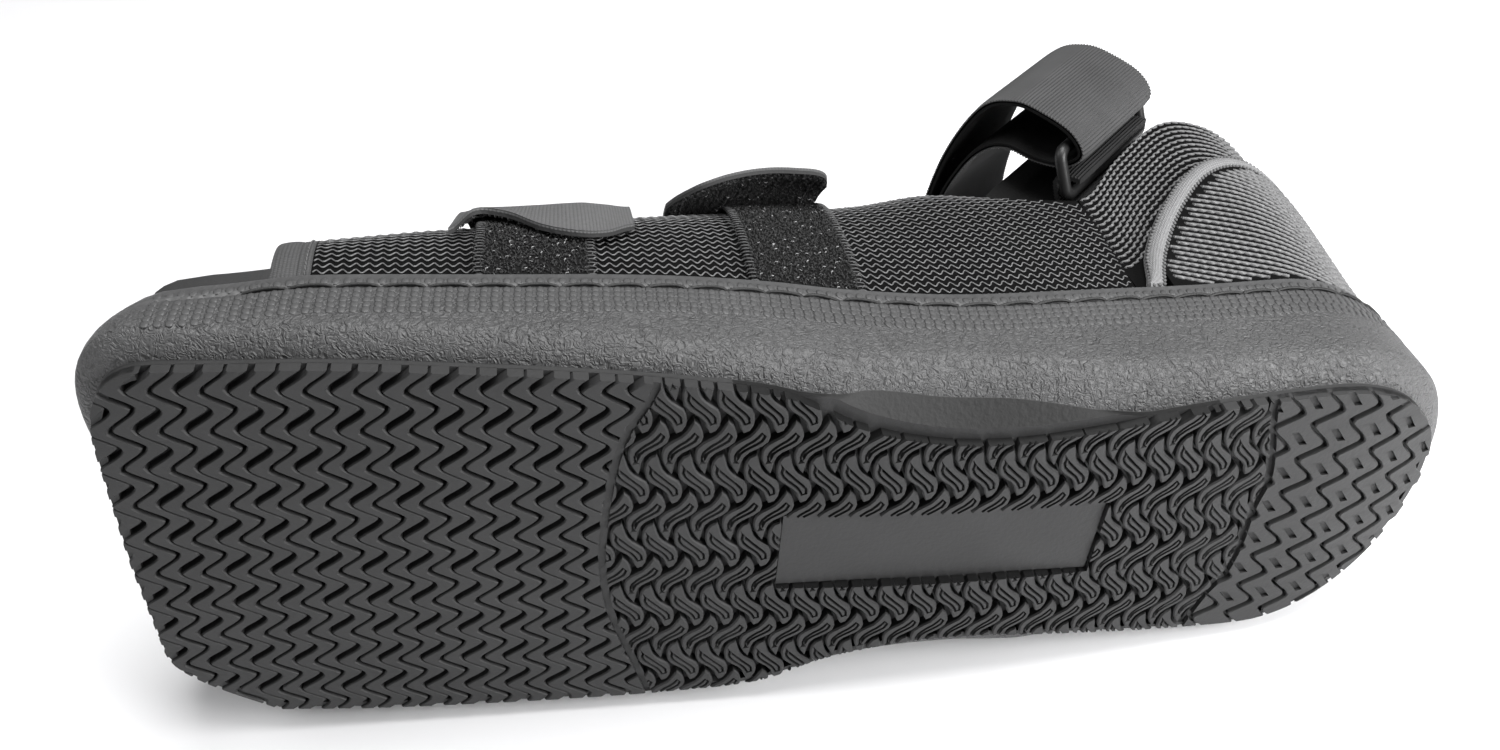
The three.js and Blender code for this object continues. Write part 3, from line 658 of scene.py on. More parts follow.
def zigzag_strip(name, start, period, turn, left, right):
    """A long lug between two zigzag grooves. Each side is its distance along the shoe and the grooves' half
    widths on the two legs."""
    y = np.arange(-ZIGZAG_REACH, ZIGZAG_REACH, period / ZIGZAG_STEPS)
    swing, first, second = zigzag(y, start, period, turn)
    low = left[0] + ZIGZAG_SWING * swing + leg_width(left, first, second)
    high = right[0] + ZIGZAG_SWING * swing - leg_width(right, first, second)
    floor = GROOVE_DEPTH + LUG_SINK
    section = [(0, floor), (0, LUG_EDGE_ROUND), (LUG_EDGE_ROUND, 0)]
    ring = [np.column_stack([low + inset, y, np.full_like(y, h)]) for inset, h in section]
    ring += [np.column_stack([high - inset, y, np.full_like(y, h)]) for inset, h in reversed(section)]
    points, faces, _ = loft(np.stack(ring, axis=1))
    return flat_object(name, points, faces)


# Curved lugs of the middle zone: outline of each kind, and the line cut into its face
LUG_ORIGIN = (126.233, -15.6)
LUG_COLUMN_STEP = (6.78, 0.0)
LUG_ROW_STEP = (-0.25, 20.0)
LUG_COLUMNS = 26
LUG_ROWS = 6
LUG_FIRST_COLUMN = -5
LUG_FIRST_ROW = -2
LUG_LINE_HALF_WIDTH = 0.34
LUG_LINE_DEPTH = 0.8
LUG_GROWTH = 0.12
FALLING_LUG = [
    (-3.8, -14.4), (-5.23, -13.47), (-6.05, -11.0), (-5.63, -7.57), (-4.23, -6.0), (-2.5, -4.67),
    (-1.37, -3.23), (-0.9, -1.57), (0, -0.1), (0.93, -1.07), (1.67, -3.2), (1.17, -6.33), (-0.23, -7.57),
    (-1.73, -8.9), (-2.73, -10.47), (-3.3, -12.8),
]
FALLING_LINE = [
    (-4.8, -10.57), (-5.0, -9.2), (-4.1, -7.5), (-1.23, -4.73), (-0.4, -3.07), (0.17, -2.5), (0.67, -3.4),
    (0.27, -4.9), (-2.0, -7.3), (-4.07, -9.57),
]
RISING_LUG = [
    (-3.5, -3.55), (-2.3, -2.0), (-1.63, 0.6), (-2.03, 2.27), (-3.4, 3.6), (-5.23, 4.83), (-6.4, 5.87),
    (-7.2, 8.0), (-7.57, 11.0), (-8.57, 9.6), (-9.6, 7.0), (-9.63, 4.43), (-8.9, 3.0), (-7.57, 1.83),
    (-5.73, 0.5), (-4.4, -1.5),
]
RISING_LINE = [
    (-8.3, 7.43), (-8.4, 5.93), (-7.9, 4.6), (-6.4, 2.93), (-4.57, 1.43), (-3.63, 0), (-3.17, -0.5),
    (-2.7, -0.07), (-2.8, 0.93), (-3.63, 2.13), (-7.07, 4.77), (-7.9, 6.6),
]


def inset(polygon, distance):
    """A closed polygon moved inwards by a distance."""
    before = unit(polygon - np.roll(polygon, 1, axis=0))
    after = unit(np.roll(polygon, -1, axis=0) - polygon)
    along = before + after
    along /= np.maximum(np.linalg.norm(along, axis=1), 1e-6)[:, None]
    area = np.sum(polygon[:, 0] * np.roll(polygon[:, 1], -1) - polygon[:, 1] * np.roll(polygon[:, 0], -1))
    inward = np.column_stack([-along[:, 1], along[:, 0]]) * np.sign(area)
    return polygon + inward * distance


def offset_line(line, distance):
    along = headings(line)
    return line + np.column_stack([-along[:, 1], along[:, 0]]) * distance


def curved_lug(name, outline, cut_line):
    """One curved lug with a rounded edge and a line cut into its face."""
    edge = inset(smooth_line(outline, 22, closed=True), -LUG_GROWTH)
    top = inset(edge, LUG_EDGE_ROUND)
    line = smooth_line(cut_line, 15)
    sides = [offset_line(line, LUG_LINE_HALF_WIDTH), line, offset_line(line, -LUG_LINE_HALF_WIDTH)]
    flat = np.concatenate([top] + sides)
    n, m = len(top), len(line)
    heights = np.zeros(len(flat))
    heights[n + m:n + 2 * m] = LUG_LINE_DEPTH
    ties = [(i, (i + 1) % n) for i in range(n)]
    for k in range(3):
        ties += [(n + k * m + i, n + k * m + i + 1) for i in range(m - 1)]
    face_points, _, faces, origin, _, _ = delaunay_2d_cdt([tuple(p) for p in flat], ties, [], 1, 1e-5)
    points = [(p[0], p[1], heights[known[0]] if known else 0) for p, known in zip(face_points, origin)]
    rim = {origin[i][0]: i for i in range(len(face_points)) if origin[i]}
    faces = [tuple(face) for face in faces]
    start = len(points)
    points += [(x, y, LUG_EDGE_ROUND) for x, y in edge]
    points += [(x, y, GROOVE_DEPTH + LUG_SINK) for x, y in edge]
    for i in range(n):
        k = (i + 1) % n
        faces.append((rim[k], rim[i], start + i, start + k))
        faces.append((start + k, start + i, start + n + i, start + n + k))
    faces.append(tuple(range(start + n, start + 2 * n)))
    return flat_object(name, points, faces)


# Geometry Nodes
def new_tree(name, sockets):
    """A Geometry Nodes tree with a geometry in and out and named inputs."""
    tree = bpy.data.node_groups.new(name, "GeometryNodeTree")
    tree.interface.new_socket("Geometry", in_out="INPUT", socket_type="NodeSocketGeometry")
    tree.interface.new_socket("Geometry", in_out="OUTPUT", socket_type="NodeSocketGeometry")
    for label, kind in sockets.items():
        tree.interface.new_socket(label, in_out="INPUT", socket_type="NodeSocket" + kind)
    return tree


def tree_node(tree, kind, inputs=None, **settings):
    """A node with its settings, and its inputs by name or place, given as values or other nodes' outputs."""
    node = tree.nodes.new(kind)
    for name, value in settings.items():
        setattr(node, name, value)
    for name, value in (inputs or {}).items():
        if isinstance(value, bpy.types.NodeSocket):
            tree.links.new(value, node.inputs[name])
        else:
            node.inputs[name].default_value = value
    return node


def tree_math(tree, operation, *values):
    return tree_node(tree, "ShaderNodeMath", dict(enumerate(values)), operation=operation).outputs[0]


def grown(piece, tree, values):
    """The mesh that a tree makes from a piece, with the tree's inputs set by name."""
    change = piece.modifiers.new(tree.name, "NODES")
    change.node_group = tree
    for item in tree.interface.items_tree:
        if item.in_out == "INPUT" and item.name in values:
            change[item.identifier] = values[item.name]
    mesh = modified_copy(piece)
    piece.modifiers.remove(change)
    return mesh


def lattice_tree():
    """Copies of a lug on the points of a lattice."""
    sockets = {
        "First": "Vector", "Columns": "Int", "Column Step": "Vector", "Rows": "Int", "Row Step": "Vector",
        "Lug": "Object", "Finish": "Material",
    }
    tree = new_tree("lattice of lugs", sockets)
    given = tree_node(tree, "NodeGroupInput").outputs
    rows = tree_node(tree, "GeometryNodeMeshLine", {
        "Count": given["Rows"], "Start Location": given["First"], "Offset": given["Row Step"],
    }, mode="OFFSET")
    columns = tree_node(tree, "GeometryNodeMeshLine", {
        "Count": given["Columns"], "Offset": given["Column Step"],
    }, mode="OFFSET")
    grid = tree_node(tree, "GeometryNodeInstanceOnPoints", {
        "Points": rows.outputs["Mesh"], "Instance": columns.outputs["Mesh"],
    })
    spots = tree_node(tree, "GeometryNodeRealizeInstances", {"Geometry": grid.outputs["Instances"]})
    lug = tree_node(tree, "GeometryNodeObjectInfo", {"Object": given["Lug"]})
    copies = tree_node(tree, "GeometryNodeInstanceOnPoints", {
        "Points": spots.outputs["Geometry"], "Instance": lug.outputs["Geometry"],
    })
    close_tree(tree, copies.outputs["Instances"], given["Finish"])
    return tree


def close_tree(tree, geometry, finish):
    """Ends a tree in real geometry with one finish."""
    real = tree_node(tree, "GeometryNodeRealizeInstances", {"Geometry": geometry})
    dressed = tree_node(tree, "GeometryNodeSetMaterial", {
        "Geometry": real.outputs["Geometry"], "Material": finish,
    })
    out = tree_node(tree, "NodeGroupOutput")
    tree.links.new(dressed.outputs["Geometry"], out.inputs["Geometry"])


def lattice(lug, finish, first, columns, column_step, rows=1, row_step=(0, 0, 0)):
    """A flat helper object with copies of a lug, which is used up."""
    base = link_piece("lattice base", bpy.data.meshes.new("lattice base"))
    values = {
        "First": first, "Columns": columns, "Column Step": column_step, "Rows": rows, "Row Step": row_step,
        "Lug": lug, "Finish": finish,
    }
    base.data = grown(base, LUG_LATTICE, values)
    remove(lug)
    return base


BELOW_TREAD = -4
ABOVE_GROOVES = GROOVE_DEPTH + 4
LUG_FOOT = GROOVE_DEPTH + LUG_SINK
BORDER_POINTS = 28
ACROSS_HALF = 70
FOREFOOT_BAND_DEPTH = 0.7
HEEL_BAND_DEPTH = 1.2
BAND_OVERLAP = 0.1
LABEL_GAP = 0.4
WHOLE_TREAD = 200


def tread_block(name, polygon, low=-2, high=GROOVE_DEPTH + 2):
    """An upright block on the tread's flat plane between two heights, capped by triangles."""
    count = len(polygon)
    points = [(x, y, height) for height in (low, high) for x, y in polygon]
    edges = [(i, (i + 1) % count) for i in range(count)]
    faces = [(i, n, count + n, count + i) for i, n in edges]
    _, _, caps, origin, _, _ = delaunay_2d_cdt([tuple(p) for p in polygon], edges, [], 1, 1e-5)
    for start in (0, count):
        faces += [[start + origin[v][0] for v in face] for face in caps]
    return flat_object(name, points, faces)


def tread_outline():
    return sole_ring(lambda stations: (0, 0))[:, :2]


def border_line(border, shift):
    line = smooth_line(border, BORDER_POINTS)
    line[:, 0] += shift
    return line


def zone(name, low_border, high_border):
    """The part of the tread between two lines across it, as a block to keep lugs inside."""
    piece = tread_block(name, tread_outline())
    between = np.concatenate([low_border, high_border[::-1]])
    cutter = tread_block(name, between, BELOW_TREAD, ABOVE_GROOVES)
    cut(piece, cutter, "INTERSECT")
    remove(cutter)
    return piece


def straight_across(x):
    return np.array([(x, -ACROSS_HALF), (x, ACROSS_HALF)], float)


def label_block(margin, low, high):
    start, end = LABEL_RECESS["start"] - margin, LABEL_RECESS["end"] + margin
    half = LABEL_RECESS["half"] + margin
    corners = [(start, -half), (end, -half), (end, half), (start, half)]
    return tread_block("label", np.array(corners), low, high)


def forefoot_lugs(finish):
    grooves = (
        (0, *FOREFOOT_FIRST_LEGS), (FOREFOOT_SECOND, *FOREFOOT_SECOND_LEGS),
        (FOREFOOT_PITCH, *FOREFOOT_FIRST_LEGS),
    )
    strips = []
    for left, right in zip(grooves, grooves[1:]):
        strips.append(zigzag_strip("long lug", FOREFOOT_START, ZIGZAG_PERIOD, FOREFOOT_TURN, left, right))
    within = zone("forefoot", straight_across(-20), border_line(FOREFOOT_BORDER, -BORDER_HALF_WIDTH))
    made = []
    for strip in strips:
        start = (FOREFOOT_FIRST - FOREFOOT_PITCH, 0, 0)
        lugs = lattice(strip, finish, start, FOREFOOT_COUNT, (FOREFOOT_PITCH, 0, 0))
        cut(lugs, within, "INTERSECT")
        made.append(lugs)
    remove(within)
    return made


def heel_lugs(finish):
    left, right = (0, *HEEL_LEGS), (HEEL_PITCH, *HEEL_LEGS)
    strip = zigzag_strip("long lug", HEEL_START, HEEL_PERIOD, HEEL_TURN, left, right)
    lugs = lattice(strip, finish, (HEEL_FIRST - HEEL_PITCH, 0, 0), HEEL_COUNT, (HEEL_PITCH, 0, 0))
    low, high = (HEEL_START + HEEL_PERIOD * share for share in DASH_SPAN)
    lean = ZIGZAG_SWING * 2 / HEEL_TURN / HEEL_PERIOD
    middle = DASH_PLACE - ZIGZAG_SWING + lean * (low - HEEL_START)
    far_end = middle + lean * (high - low)
    corners = [(middle - DASH_HALF, low), (middle + DASH_HALF, low)]
    corners += [(far_end + DASH_HALF, high), (far_end - DASH_HALF, high)]
    dash = tread_block("dash", np.array(corners), -1, DASH_DEPTH)
    first = (HEEL_FIRST - HEEL_PITCH, DASH_FIRST_ROW * HEEL_PERIOD, 0)
    dashes = lattice(dash, finish, first, HEEL_COUNT, (HEEL_PITCH, 0, 0), DASH_ROWS, (0, HEEL_PERIOD, 0))
    cut(lugs, dashes, "DIFFERENCE")
    within = zone("heel", border_line(HEEL_BORDER, BORDER_HALF_WIDTH), straight_across(320))
    cut(lugs, within, "INTERSECT")
    remove(dashes)
    floor = label_block(WHOLE_TREAD, HEEL_GROOVE_DEPTH, LUG_FOOT)
    cut(floor, within, "INTERSECT")
    remove(within)
    return [lugs, floor]


def middle_lugs(finish):
    low = border_line(FOREFOOT_BORDER, BORDER_HALF_WIDTH)
    within = zone("middle", low, border_line(HEEL_BORDER, -BORDER_HALF_WIDTH))
    recess = label_block(LABEL_GAP, BELOW_TREAD, ABOVE_GROOVES)
    cut(within, recess, "DIFFERENCE")
    remove(recess)
    first = np.array(LUG_ORIGIN)
    first = first + LUG_FIRST_COLUMN * np.array(LUG_COLUMN_STEP) + LUG_FIRST_ROW * np.array(LUG_ROW_STEP)
    made = []
    for outline, line in ((FALLING_LUG, FALLING_LINE), (RISING_LUG, RISING_LINE)):
        lugs = lattice(
            curved_lug("curved lug", outline, line), finish, (*first, 0), LUG_COLUMNS, (*LUG_COLUMN_STEP, 0),
            LUG_ROWS, (*LUG_ROW_STEP, 0),
        )
        cut(lugs, within, "INTERSECT")
        made.append(lugs)
    remove(within)
    return made


def border_bands():
    """Smooth bands between the zones, a little below the lugs' faces."""
    made = []
    for border, top in ((FOREFOOT_BORDER, FOREFOOT_BAND_DEPTH), (HEEL_BORDER, HEEL_BAND_DEPTH)):
        half = BORDER_HALF_WIDTH + BAND_OVERLAP
        across = np.concatenate([border_line(border, -half), border_line(border, half)[::-1]])
        band = tread_block("band", across, top, LUG_FOOT)
        outline = tread_block("outline", tread_outline())
        cut(band, outline, "INTERSECT")
        remove(outline)
        made.append(band)
    return made


# Lip along the edge: centre and scale of its inner outline, depth under the lugs' faces, corners of its reach
LIP_CENTRE = np.array([147.0, 0.0])
LIP_INNER = np.array([0.988, 0.97])
LIP_DEPTH = 0.7
LIP_SPAN = [(-20, -70), (10, -70), (16, -20), (262, -20), (282, -70), (320, -70), (320, 70), (-20, 70)]
SLAB_SHARES = (0, 0.35, 0.7, 1)


def edge_lip():
    """A low lip that closes the grooves along the edge, from the toe along the far side to the heel."""
    lip = tread_block("lip", tread_outline(), LIP_DEPTH, LUG_FOOT)
    inner = LIP_CENTRE + (tread_outline() - LIP_CENTRE) * LIP_INNER
    inside = tread_block("inside", inner, BELOW_TREAD, ABOVE_GROOVES)
    span = tread_block("span", np.array(LIP_SPAN, float), BELOW_TREAD, ABOVE_GROOVES)
    cut(lip, inside, "DIFFERENCE")
    cut(lip, span, "INTERSECT")
    remove(inside, span)
    return lip


def tread_slab():
    """The outsole's body, from the grooves' floor up to the wall, with the smooth facets of the arch."""
    def level(share):
        def at(stations):
            x = stations[:, 0]
            height = lerp(GROOVE_DEPTH, np.maximum(arch_rise(x), OUTSOLE_THICKNESS), share)
            return wall_out(stations, height), tread_height(x) + height
        return at

    shape = loft([sole_ring(level(share)) for share in SLAB_SHARES])
    return link_piece("slab", mesh_from("slab", *shape))


def join(pieces, name):
    """One piece from several."""
    with bpy.context.temp_override(active_object=pieces[0], selected_editable_objects=pieces):
        bpy.ops.object.join()
    pieces[0].name = name
    pieces[0].data.name = name
    return pieces[0]


def make_outsole(finish):
    flat = forefoot_lugs(finish) + middle_lugs(finish) + heel_lugs(finish) + border_bands()
    flat += [label_block(0, LABEL_RECESS["depth"], LUG_FOOT), edge_lip()]
    bent = [bend_onto_rocker(piece, "lugs") for piece in flat]
    outsole = join([tread_slab()] + bent, "tread_rubber")
    place_piece(outsole, finish, "tread", "outsole")


LUG_LATTICE = lattice_tree()


# Threads and pile, grown along lines and over faces
def lines_object(name, lines):
    """An object of lines for threads to follow. Each line has points, directions out of the cloth and
    directions along the cloth across the line."""
    points, outs, sides, edges = [], [], [], []
    for line, out, side in lines:
        start = sum(len(part) for part in points)
        edges += [(start + i, start + i + 1) for i in range(len(line) - 1)]
        points.append(to_frame(line))
        outs.append(np.asarray(out, float) @ LYING.T)
        sides.append(np.asarray(side, float) @ LYING.T)
    mesh = bpy.data.meshes.new(name)
    mesh.from_pydata(np.concatenate(points).tolist(), edges, [])
    for label, values in (("out", outs), ("side", sides)):
        layer = mesh.attributes.new(label, "FLOAT_VECTOR", "POINT")
        layer.data.foreach_set("vector", np.concatenate(values).astype(np.float32).ravel())
    return link_piece(name, mesh)


def tube(route, radius, sides=5):
    """Points and faces of a thin closed tube along a route, in millimetres, thinner toward its ends."""
    route = np.asarray(route, float)
    along = headings(route)
    reference = np.array([0, 1.0, 0]) if abs(along[:, 1]).max() < 0.9 else np.array([0, 0, 1.0])
    first = unit(np.cross(along, reference))
    second = np.cross(along, first)
    points, faces = [], []
    for k in range(len(route)):
        thick = radius * (0.6 if k in (0, len(route) - 1) else 1)
        for turn in np.arange(sides) * 2 * math.pi / sides:
            points.append(route[k] + thick * (math.cos(turn) * first[k] + math.sin(turn) * second[k]))
    for k in range(len(route) - 1):
        for i in range(sides):
            n = (i + 1) % sides
            faces.append((k * sides + i, k * sides + n, (k + 1) * sides + n, (k + 1) * sides + i))
    last = (len(route) - 1) * sides
    faces.append(tuple(range(sides))[::-1])
    faces.append(tuple(last + i for i in range(sides)))
    return np.array(points), faces


def stitch_object(name, route, radius, sides=5):
    """A small thread to copy, its length along x and its outer side up z."""
    points, faces = tube(route, radius, sides)
    mesh = bpy.data.meshes.new(name)
    mesh.from_pydata((points * MM).tolist(), [], faces)
    mesh.shade_smooth()
    return link_piece(name, mesh)


def named_direction(tree, label):
    kept = tree_node(tree, "GeometryNodeInputNamedAttribute", {"Name": label}, data_type="FLOAT_VECTOR")
    return kept.outputs[0]


def shift_by(tree, label, amount):
    """A shift by an amount in a direction kept with the lines."""
    inputs = {0: named_direction(tree, label), "Scale": amount}
    return tree_node(tree, "ShaderNodeVectorMath", inputs, operation="SCALE").outputs[0]


def spun(tree, rotation, angle):
    """A rotation turned further about its own upright axis."""
    spin = tree_node(tree, "FunctionNodeAxisAngleToRotation", {"Axis": (0, 0, 1), "Angle": angle})
    inputs = {"Rotation": rotation, "Rotate By": spin.outputs[0]}
    return tree_node(tree, "FunctionNodeRotateRotation", inputs, rotation_space="LOCAL").outputs[0]


def between(tree, low, high, seed):
    """A random value between two others."""
    inputs = {"Min": low, "Max": high, "Seed": seed}
    return tree_node(tree, "FunctionNodeRandomValue", inputs).outputs["Value"]


def yarn_tree():
    """Round yarn that swings from side to side along lines and leans out of the cloth as it swings."""
    sockets = {
        "Pitch": "Float", "Swing": "Float", "Lift": "Float", "Steps": "Float", "Thickness": "Float",
        "Sides": "Int", "Finish": "Material",
    }
    tree = new_tree("yarn along lines", sockets)
    given = tree_node(tree, "NodeGroupInput").outputs
    curve = tree_node(tree, "GeometryNodeMeshToCurve", {"Mesh": given["Geometry"]})
    even = tree_node(tree, "GeometryNodeResampleCurve", {
        "Curve": curve.outputs["Curve"], "Length": tree_math(tree, "DIVIDE", given["Pitch"], given["Steps"]),
    }, mode="LENGTH")
    travelled = tree_node(tree, "GeometryNodeSplineParameter").outputs["Length"]
    turns = tree_math(tree, "DIVIDE", travelled, given["Pitch"])
    wave = tree_math(tree, "SINE", tree_math(tree, "MULTIPLY", turns, 2 * math.pi))
    aside = shift_by(tree, "side", tree_math(tree, "MULTIPLY", wave, given["Swing"]))
    raised = shift_by(tree, "out", tree_math(tree, "MULTIPLY", wave, given["Lift"]))
    shift = tree_node(tree, "ShaderNodeVectorMath", {0: aside, 1: raised}, operation="SUBTRACT")
    moved = tree_node(tree, "GeometryNodeSetPosition", {
        "Geometry": even.outputs["Curve"], "Offset": shift.outputs[0],
    })
    profile = tree_node(tree, "GeometryNodeCurvePrimitiveCircle", {
        "Resolution": given["Sides"], "Radius": given["Thickness"],
    })
    yarn = tree_node(tree, "GeometryNodeCurveToMesh", {
        "Curve": moved.outputs["Geometry"], "Profile Curve": profile.outputs["Curve"], "Fill Caps": True,
    })
    close_tree(tree, yarn.outputs["Mesh"], given["Finish"])
    return tree


def stitch_tree():
    """Copies of one stitch along lines, lying on the cloth, each a little different."""
    sockets = {
        "Pitch": "Float", "Stitch": "Object", "Quarter Turn": "Float", "Jitter": "Float", "Seed": "Int",
        "Finish": "Material",
    }
    tree = new_tree("stitches along lines", sockets)
    given = tree_node(tree, "NodeGroupInput").outputs
    curve = tree_node(tree, "GeometryNodeMeshToCurve", {"Mesh": given["Geometry"]})
    spots = tree_node(tree, "GeometryNodeCurveToPoints", {
        "Curve": curve.outputs["Curve"], "Length": given["Pitch"],
    }, mode="LENGTH")
    out = named_direction(tree, "out")
    up = tree_node(tree, "FunctionNodeAlignRotationToVector", {"Vector": out}, axis="Z")
    ahead = tree_node(tree, "FunctionNodeAlignRotationToVector", {
        "Rotation": up.outputs[0], "Vector": spots.outputs["Tangent"],
    }, axis="X", pivot_axis="Z")
    wobble = between(tree, -1.0, 1.0, given["Seed"])
    twist = tree_math(tree, "MULTIPLY_ADD", wobble, given["Jitter"], given["Quarter Turn"])
    stitch = tree_node(tree, "GeometryNodeObjectInfo", {"Object": given["Stitch"]})
    copies = tree_node(tree, "GeometryNodeInstanceOnPoints", {
        "Points": spots.outputs["Points"], "Instance": stitch.outputs["Geometry"],
        "Rotation": spun(tree, ahead.outputs[0], twist),
    })
    close_tree(tree, copies.outputs["Instances"], given["Finish"])
    return tree


def pile_tree():
    """Copies of one loop scattered over faces, each turned and sized at random."""
    sockets = {
        "Density": "Float", "Loop": "Object", "Seed": "Int", "Smallest": "Float", "Largest": "Float",
        "Finish": "Material",
    }
    tree = new_tree("pile over faces", sockets)
    given = tree_node(tree, "NodeGroupInput").outputs
    spots = tree_node(tree, "GeometryNodeDistributePointsOnFaces", {
        "Mesh": given["Geometry"], "Density": given["Density"], "Seed": given["Seed"],
    })
    angle = between(tree, 0.0, 2 * math.pi, given["Seed"])
    loop = tree_node(tree, "GeometryNodeObjectInfo", {"Object": given["Loop"]})
    copies = tree_node(tree, "GeometryNodeInstanceOnPoints", {
        "Points": spots.outputs["Points"], "Instance": loop.outputs["Geometry"],
        "Rotation": spun(tree, spots.outputs["Rotation"], angle),
        "Scale": between(tree, given["Smallest"], given["Largest"], given["Seed"]),
    })
    close_tree(tree, copies.outputs["Instances"], given["Finish"])
    return tree


YARN = yarn_tree()
STITCHES = stitch_tree()
PILE = pile_tree()


def grow_piece(name, base, tree, values, finish, slot):
    """A piece that a tree grows from a base, in place of that base."""
    base.data = grown(base, tree, {**values, "Finish": finish})
    base.data.name = name
    base.data.shade_smooth()
    place_piece(base, finish, slot)


def add_yarn(name, lines, slot, finish, pitch, swing, lift, thickness, steps, sides):
    """A piece of yarn rows, its sizes in millimetres."""
    values = {
        "Pitch": pitch * MM, "Swing": swing * MM, "Lift": lift * MM, "Steps": float(steps),
        "Thickness": thickness * MM, "Sides": sides,
    }
    grow_piece(name, lines_object(name, lines), YARN, values, finish, slot)


def add_stitches(name, lines, slot, finish, pitch, stitch, crosswise=False, jitter=0.08, seed=3):
    """A piece of equal stitches along lines, its pitch in millimetres. The stitch given is used up."""
    values = {
        "Pitch": pitch * MM, "Stitch": stitch, "Quarter Turn": math.pi / 2 if crosswise else 0.0,
        "Jitter": jitter, "Seed": seed,
    }
    grow_piece(name, lines_object(name, lines), STITCHES, values, finish, slot)
    remove(stitch)


def add_pile(name, grid, finish, per_square_mm, loop, smallest=0.7, largest=1.3, seed=5):
    """A piece of pile over a grid of points. The loop given is used up."""
    values = {
        "Density": per_square_mm / MM**2, "Loop": loop, "Seed": seed, "Smallest": smallest,
        "Largest": largest,
    }
    grow_piece(name, link_piece(name, sheet_mesh(name, grid)), PILE, values, finish, "pile")
    remove(loop)


def sheet_mesh(name, grid):
    """A thin sheet through a grid of points."""
    rows, columns = grid.shape[:2]
    faces = []
    for r in range(rows - 1):
        for c in range(columns - 1):
            corner = r * columns + c
            faces.append((corner, corner + 1, corner + columns + 1, corner + columns))
    mesh = bpy.data.meshes.new(name)
    mesh.from_pydata(to_frame(grid.reshape(-1, 3)).tolist(), [], faces)
    return mesh


# Side wall: from the tread's slab up to a rounded rim, with a sunk line for the stitching
RIM_ROUND = 1.4
STITCH_DEPTH = 5.5
STITCH_GROOVE_HALF = 0.6
STITCH_GROOVE_DEPTH = 0.45
PLAIN_WALL_DEPTH = 7
WALL_LEVELS = 14
WALL_GAP = 0.05
WALL_FOOT_DEPTH = 30
GROOVE_SHARES = (1.2, 0.8, 0.4, 0, -0.4, -0.8, -1.2)
RIM_DEPTHS = (4.2, 3.4, 2.6, 2.0, 1.4, 0.8, 0.4, 0.12, 0)
RIM_INNER = ((0.5, 0), (0.12, 0.15), (0, 0.6), (0, SEAT_DEPTH))


def rim_inset(depth):
    """How far the wall's face falls back at a depth under the rim, for the rounded edge and stitch groove."""
    rounding = RIM_ROUND - math.sqrt(max(RIM_ROUND**2 - max(RIM_ROUND - depth, 0) ** 2, 0))
    groove = max(1 - (abs(depth - STITCH_DEPTH) / STITCH_GROOVE_HALF) ** 2, 0)
    return rounding + STITCH_GROOVE_DEPTH * groove


def wall_level(share):
    """A level of the wall, from share 0 on the outsole to share 1 just below the stitching."""
    def at(stations):
        x = stations[:, 0]
        tread = tread_height(x)
        base = np.maximum(arch_rise(x), OUTSOLE_THICKNESS) + WALL_GAP
        height = lerp(base, rim_height(x) - tread - PLAIN_WALL_DEPTH, share)
        return wall_out(stations, height), tread + height
    return at


def rim_level(depth):
    """A level of the wall at a depth under the rim."""
    def at(stations):
        rim = rim_height(stations[:, 0])
        grow = wall_out(stations, rim - tread_height(stations[:, 0]) - depth)
        return grow - rim_inset(depth), rim - depth
    return at


def inner_level(back, depth):
    """A level of the rim's inner side."""
    def at(stations):
        return stations[:, 4] - RIM_THICKNESS + back, rim_height(stations[:, 0]) - depth
    return at


def make_wall(finish):
    rings, depths = [], []
    for share in np.linspace(0, 1, WALL_LEVELS):
        rings.append(sole_ring(wall_level(share)))
        depths.append(lerp(WALL_FOOT_DEPTH, PLAIN_WALL_DEPTH, share))
    beside = [STITCH_DEPTH + STITCH_GROOVE_HALF * share for share in GROOVE_SHARES]
    for depth in beside + list(RIM_DEPTHS):
        rings.append(sole_ring(rim_level(depth)))
        depths.append(depth)
    for back, depth in RIM_INNER:
        rings.append(sole_ring(inner_level(back, depth)))
        depths.append(-1 - depth)
    make_piece("side_wall", loft(rings, depths), finish, "wall", "midsole", angle=60)


def wall_line(depth, sink, start):
    """A line round the wall at a depth under the rim, from a near station round the heel to the far one."""
    line, out = [], []
    for stations, side, order in ((NEAR_OUTLINE, NEAR, 1), (FAR_OUTLINE, FAR, -1)):
        half = stations[stations[:, 0] > start]
        height = rim_height(half[:, 0]) - depth
        grow = wall_out(half, height - tread_height(half[:, 0])) - sink
        line.append(side_points(half, side, grow, height)[::order])
        out.append(np.column_stack([half[:, 2], side * half[:, 3], 0 * height])[::order])
    line, out = np.concatenate(line), np.concatenate(out)
    return line, out, np.tile([0, 0, 1.0], (len(line), 1))


STITCH_PITCH = 8.7
STITCH_BOW = 0.8
STITCH_THREAD = 0.4
STITCH_FROM = 34
SCALE_PITCH = 2.2
SCALE_SIZE = (0.9, 1.25, 0.22)
SCALE_DEPTHS = (3.9, 7.2, 8.9, 10.6, 12.3, 14.0)
SCALES_FROM = 12
SCALE_SINK = 0.02
STITCH_REACH = 0.56


def dome_object(name, size, around=8):
    """A low rounded bump to copy, half sunk, its sizes half its length, half its width and its height."""
    rings = [(0.95, 0.25), (0.62, 0.8)]
    points = [(0, 0, -1), (0, 0, 1)]
    for out, rise in [(0.8, -0.6)] + rings:
        for turn in np.arange(around) * 2 * math.pi / around:
            points.append((out * math.cos(turn), out * math.sin(turn), rise))
    faces = []
    for i in range(around):
        n = (i + 1) % around
        low, middle, high = 2, 2 + around, 2 + 2 * around
        faces.append((0, low + n, low + i))
        faces.append((low + i, low + n, middle + n, middle + i))
        faces.append((middle + i, middle + n, high + n, high + i))
        faces.append((high + i, high + n, 1))
    mesh = bpy.data.meshes.new(name)
    mesh.from_pydata((np.array(points) * np.array(size) * MM).tolist(), [], faces)
    return link_piece(name, mesh)


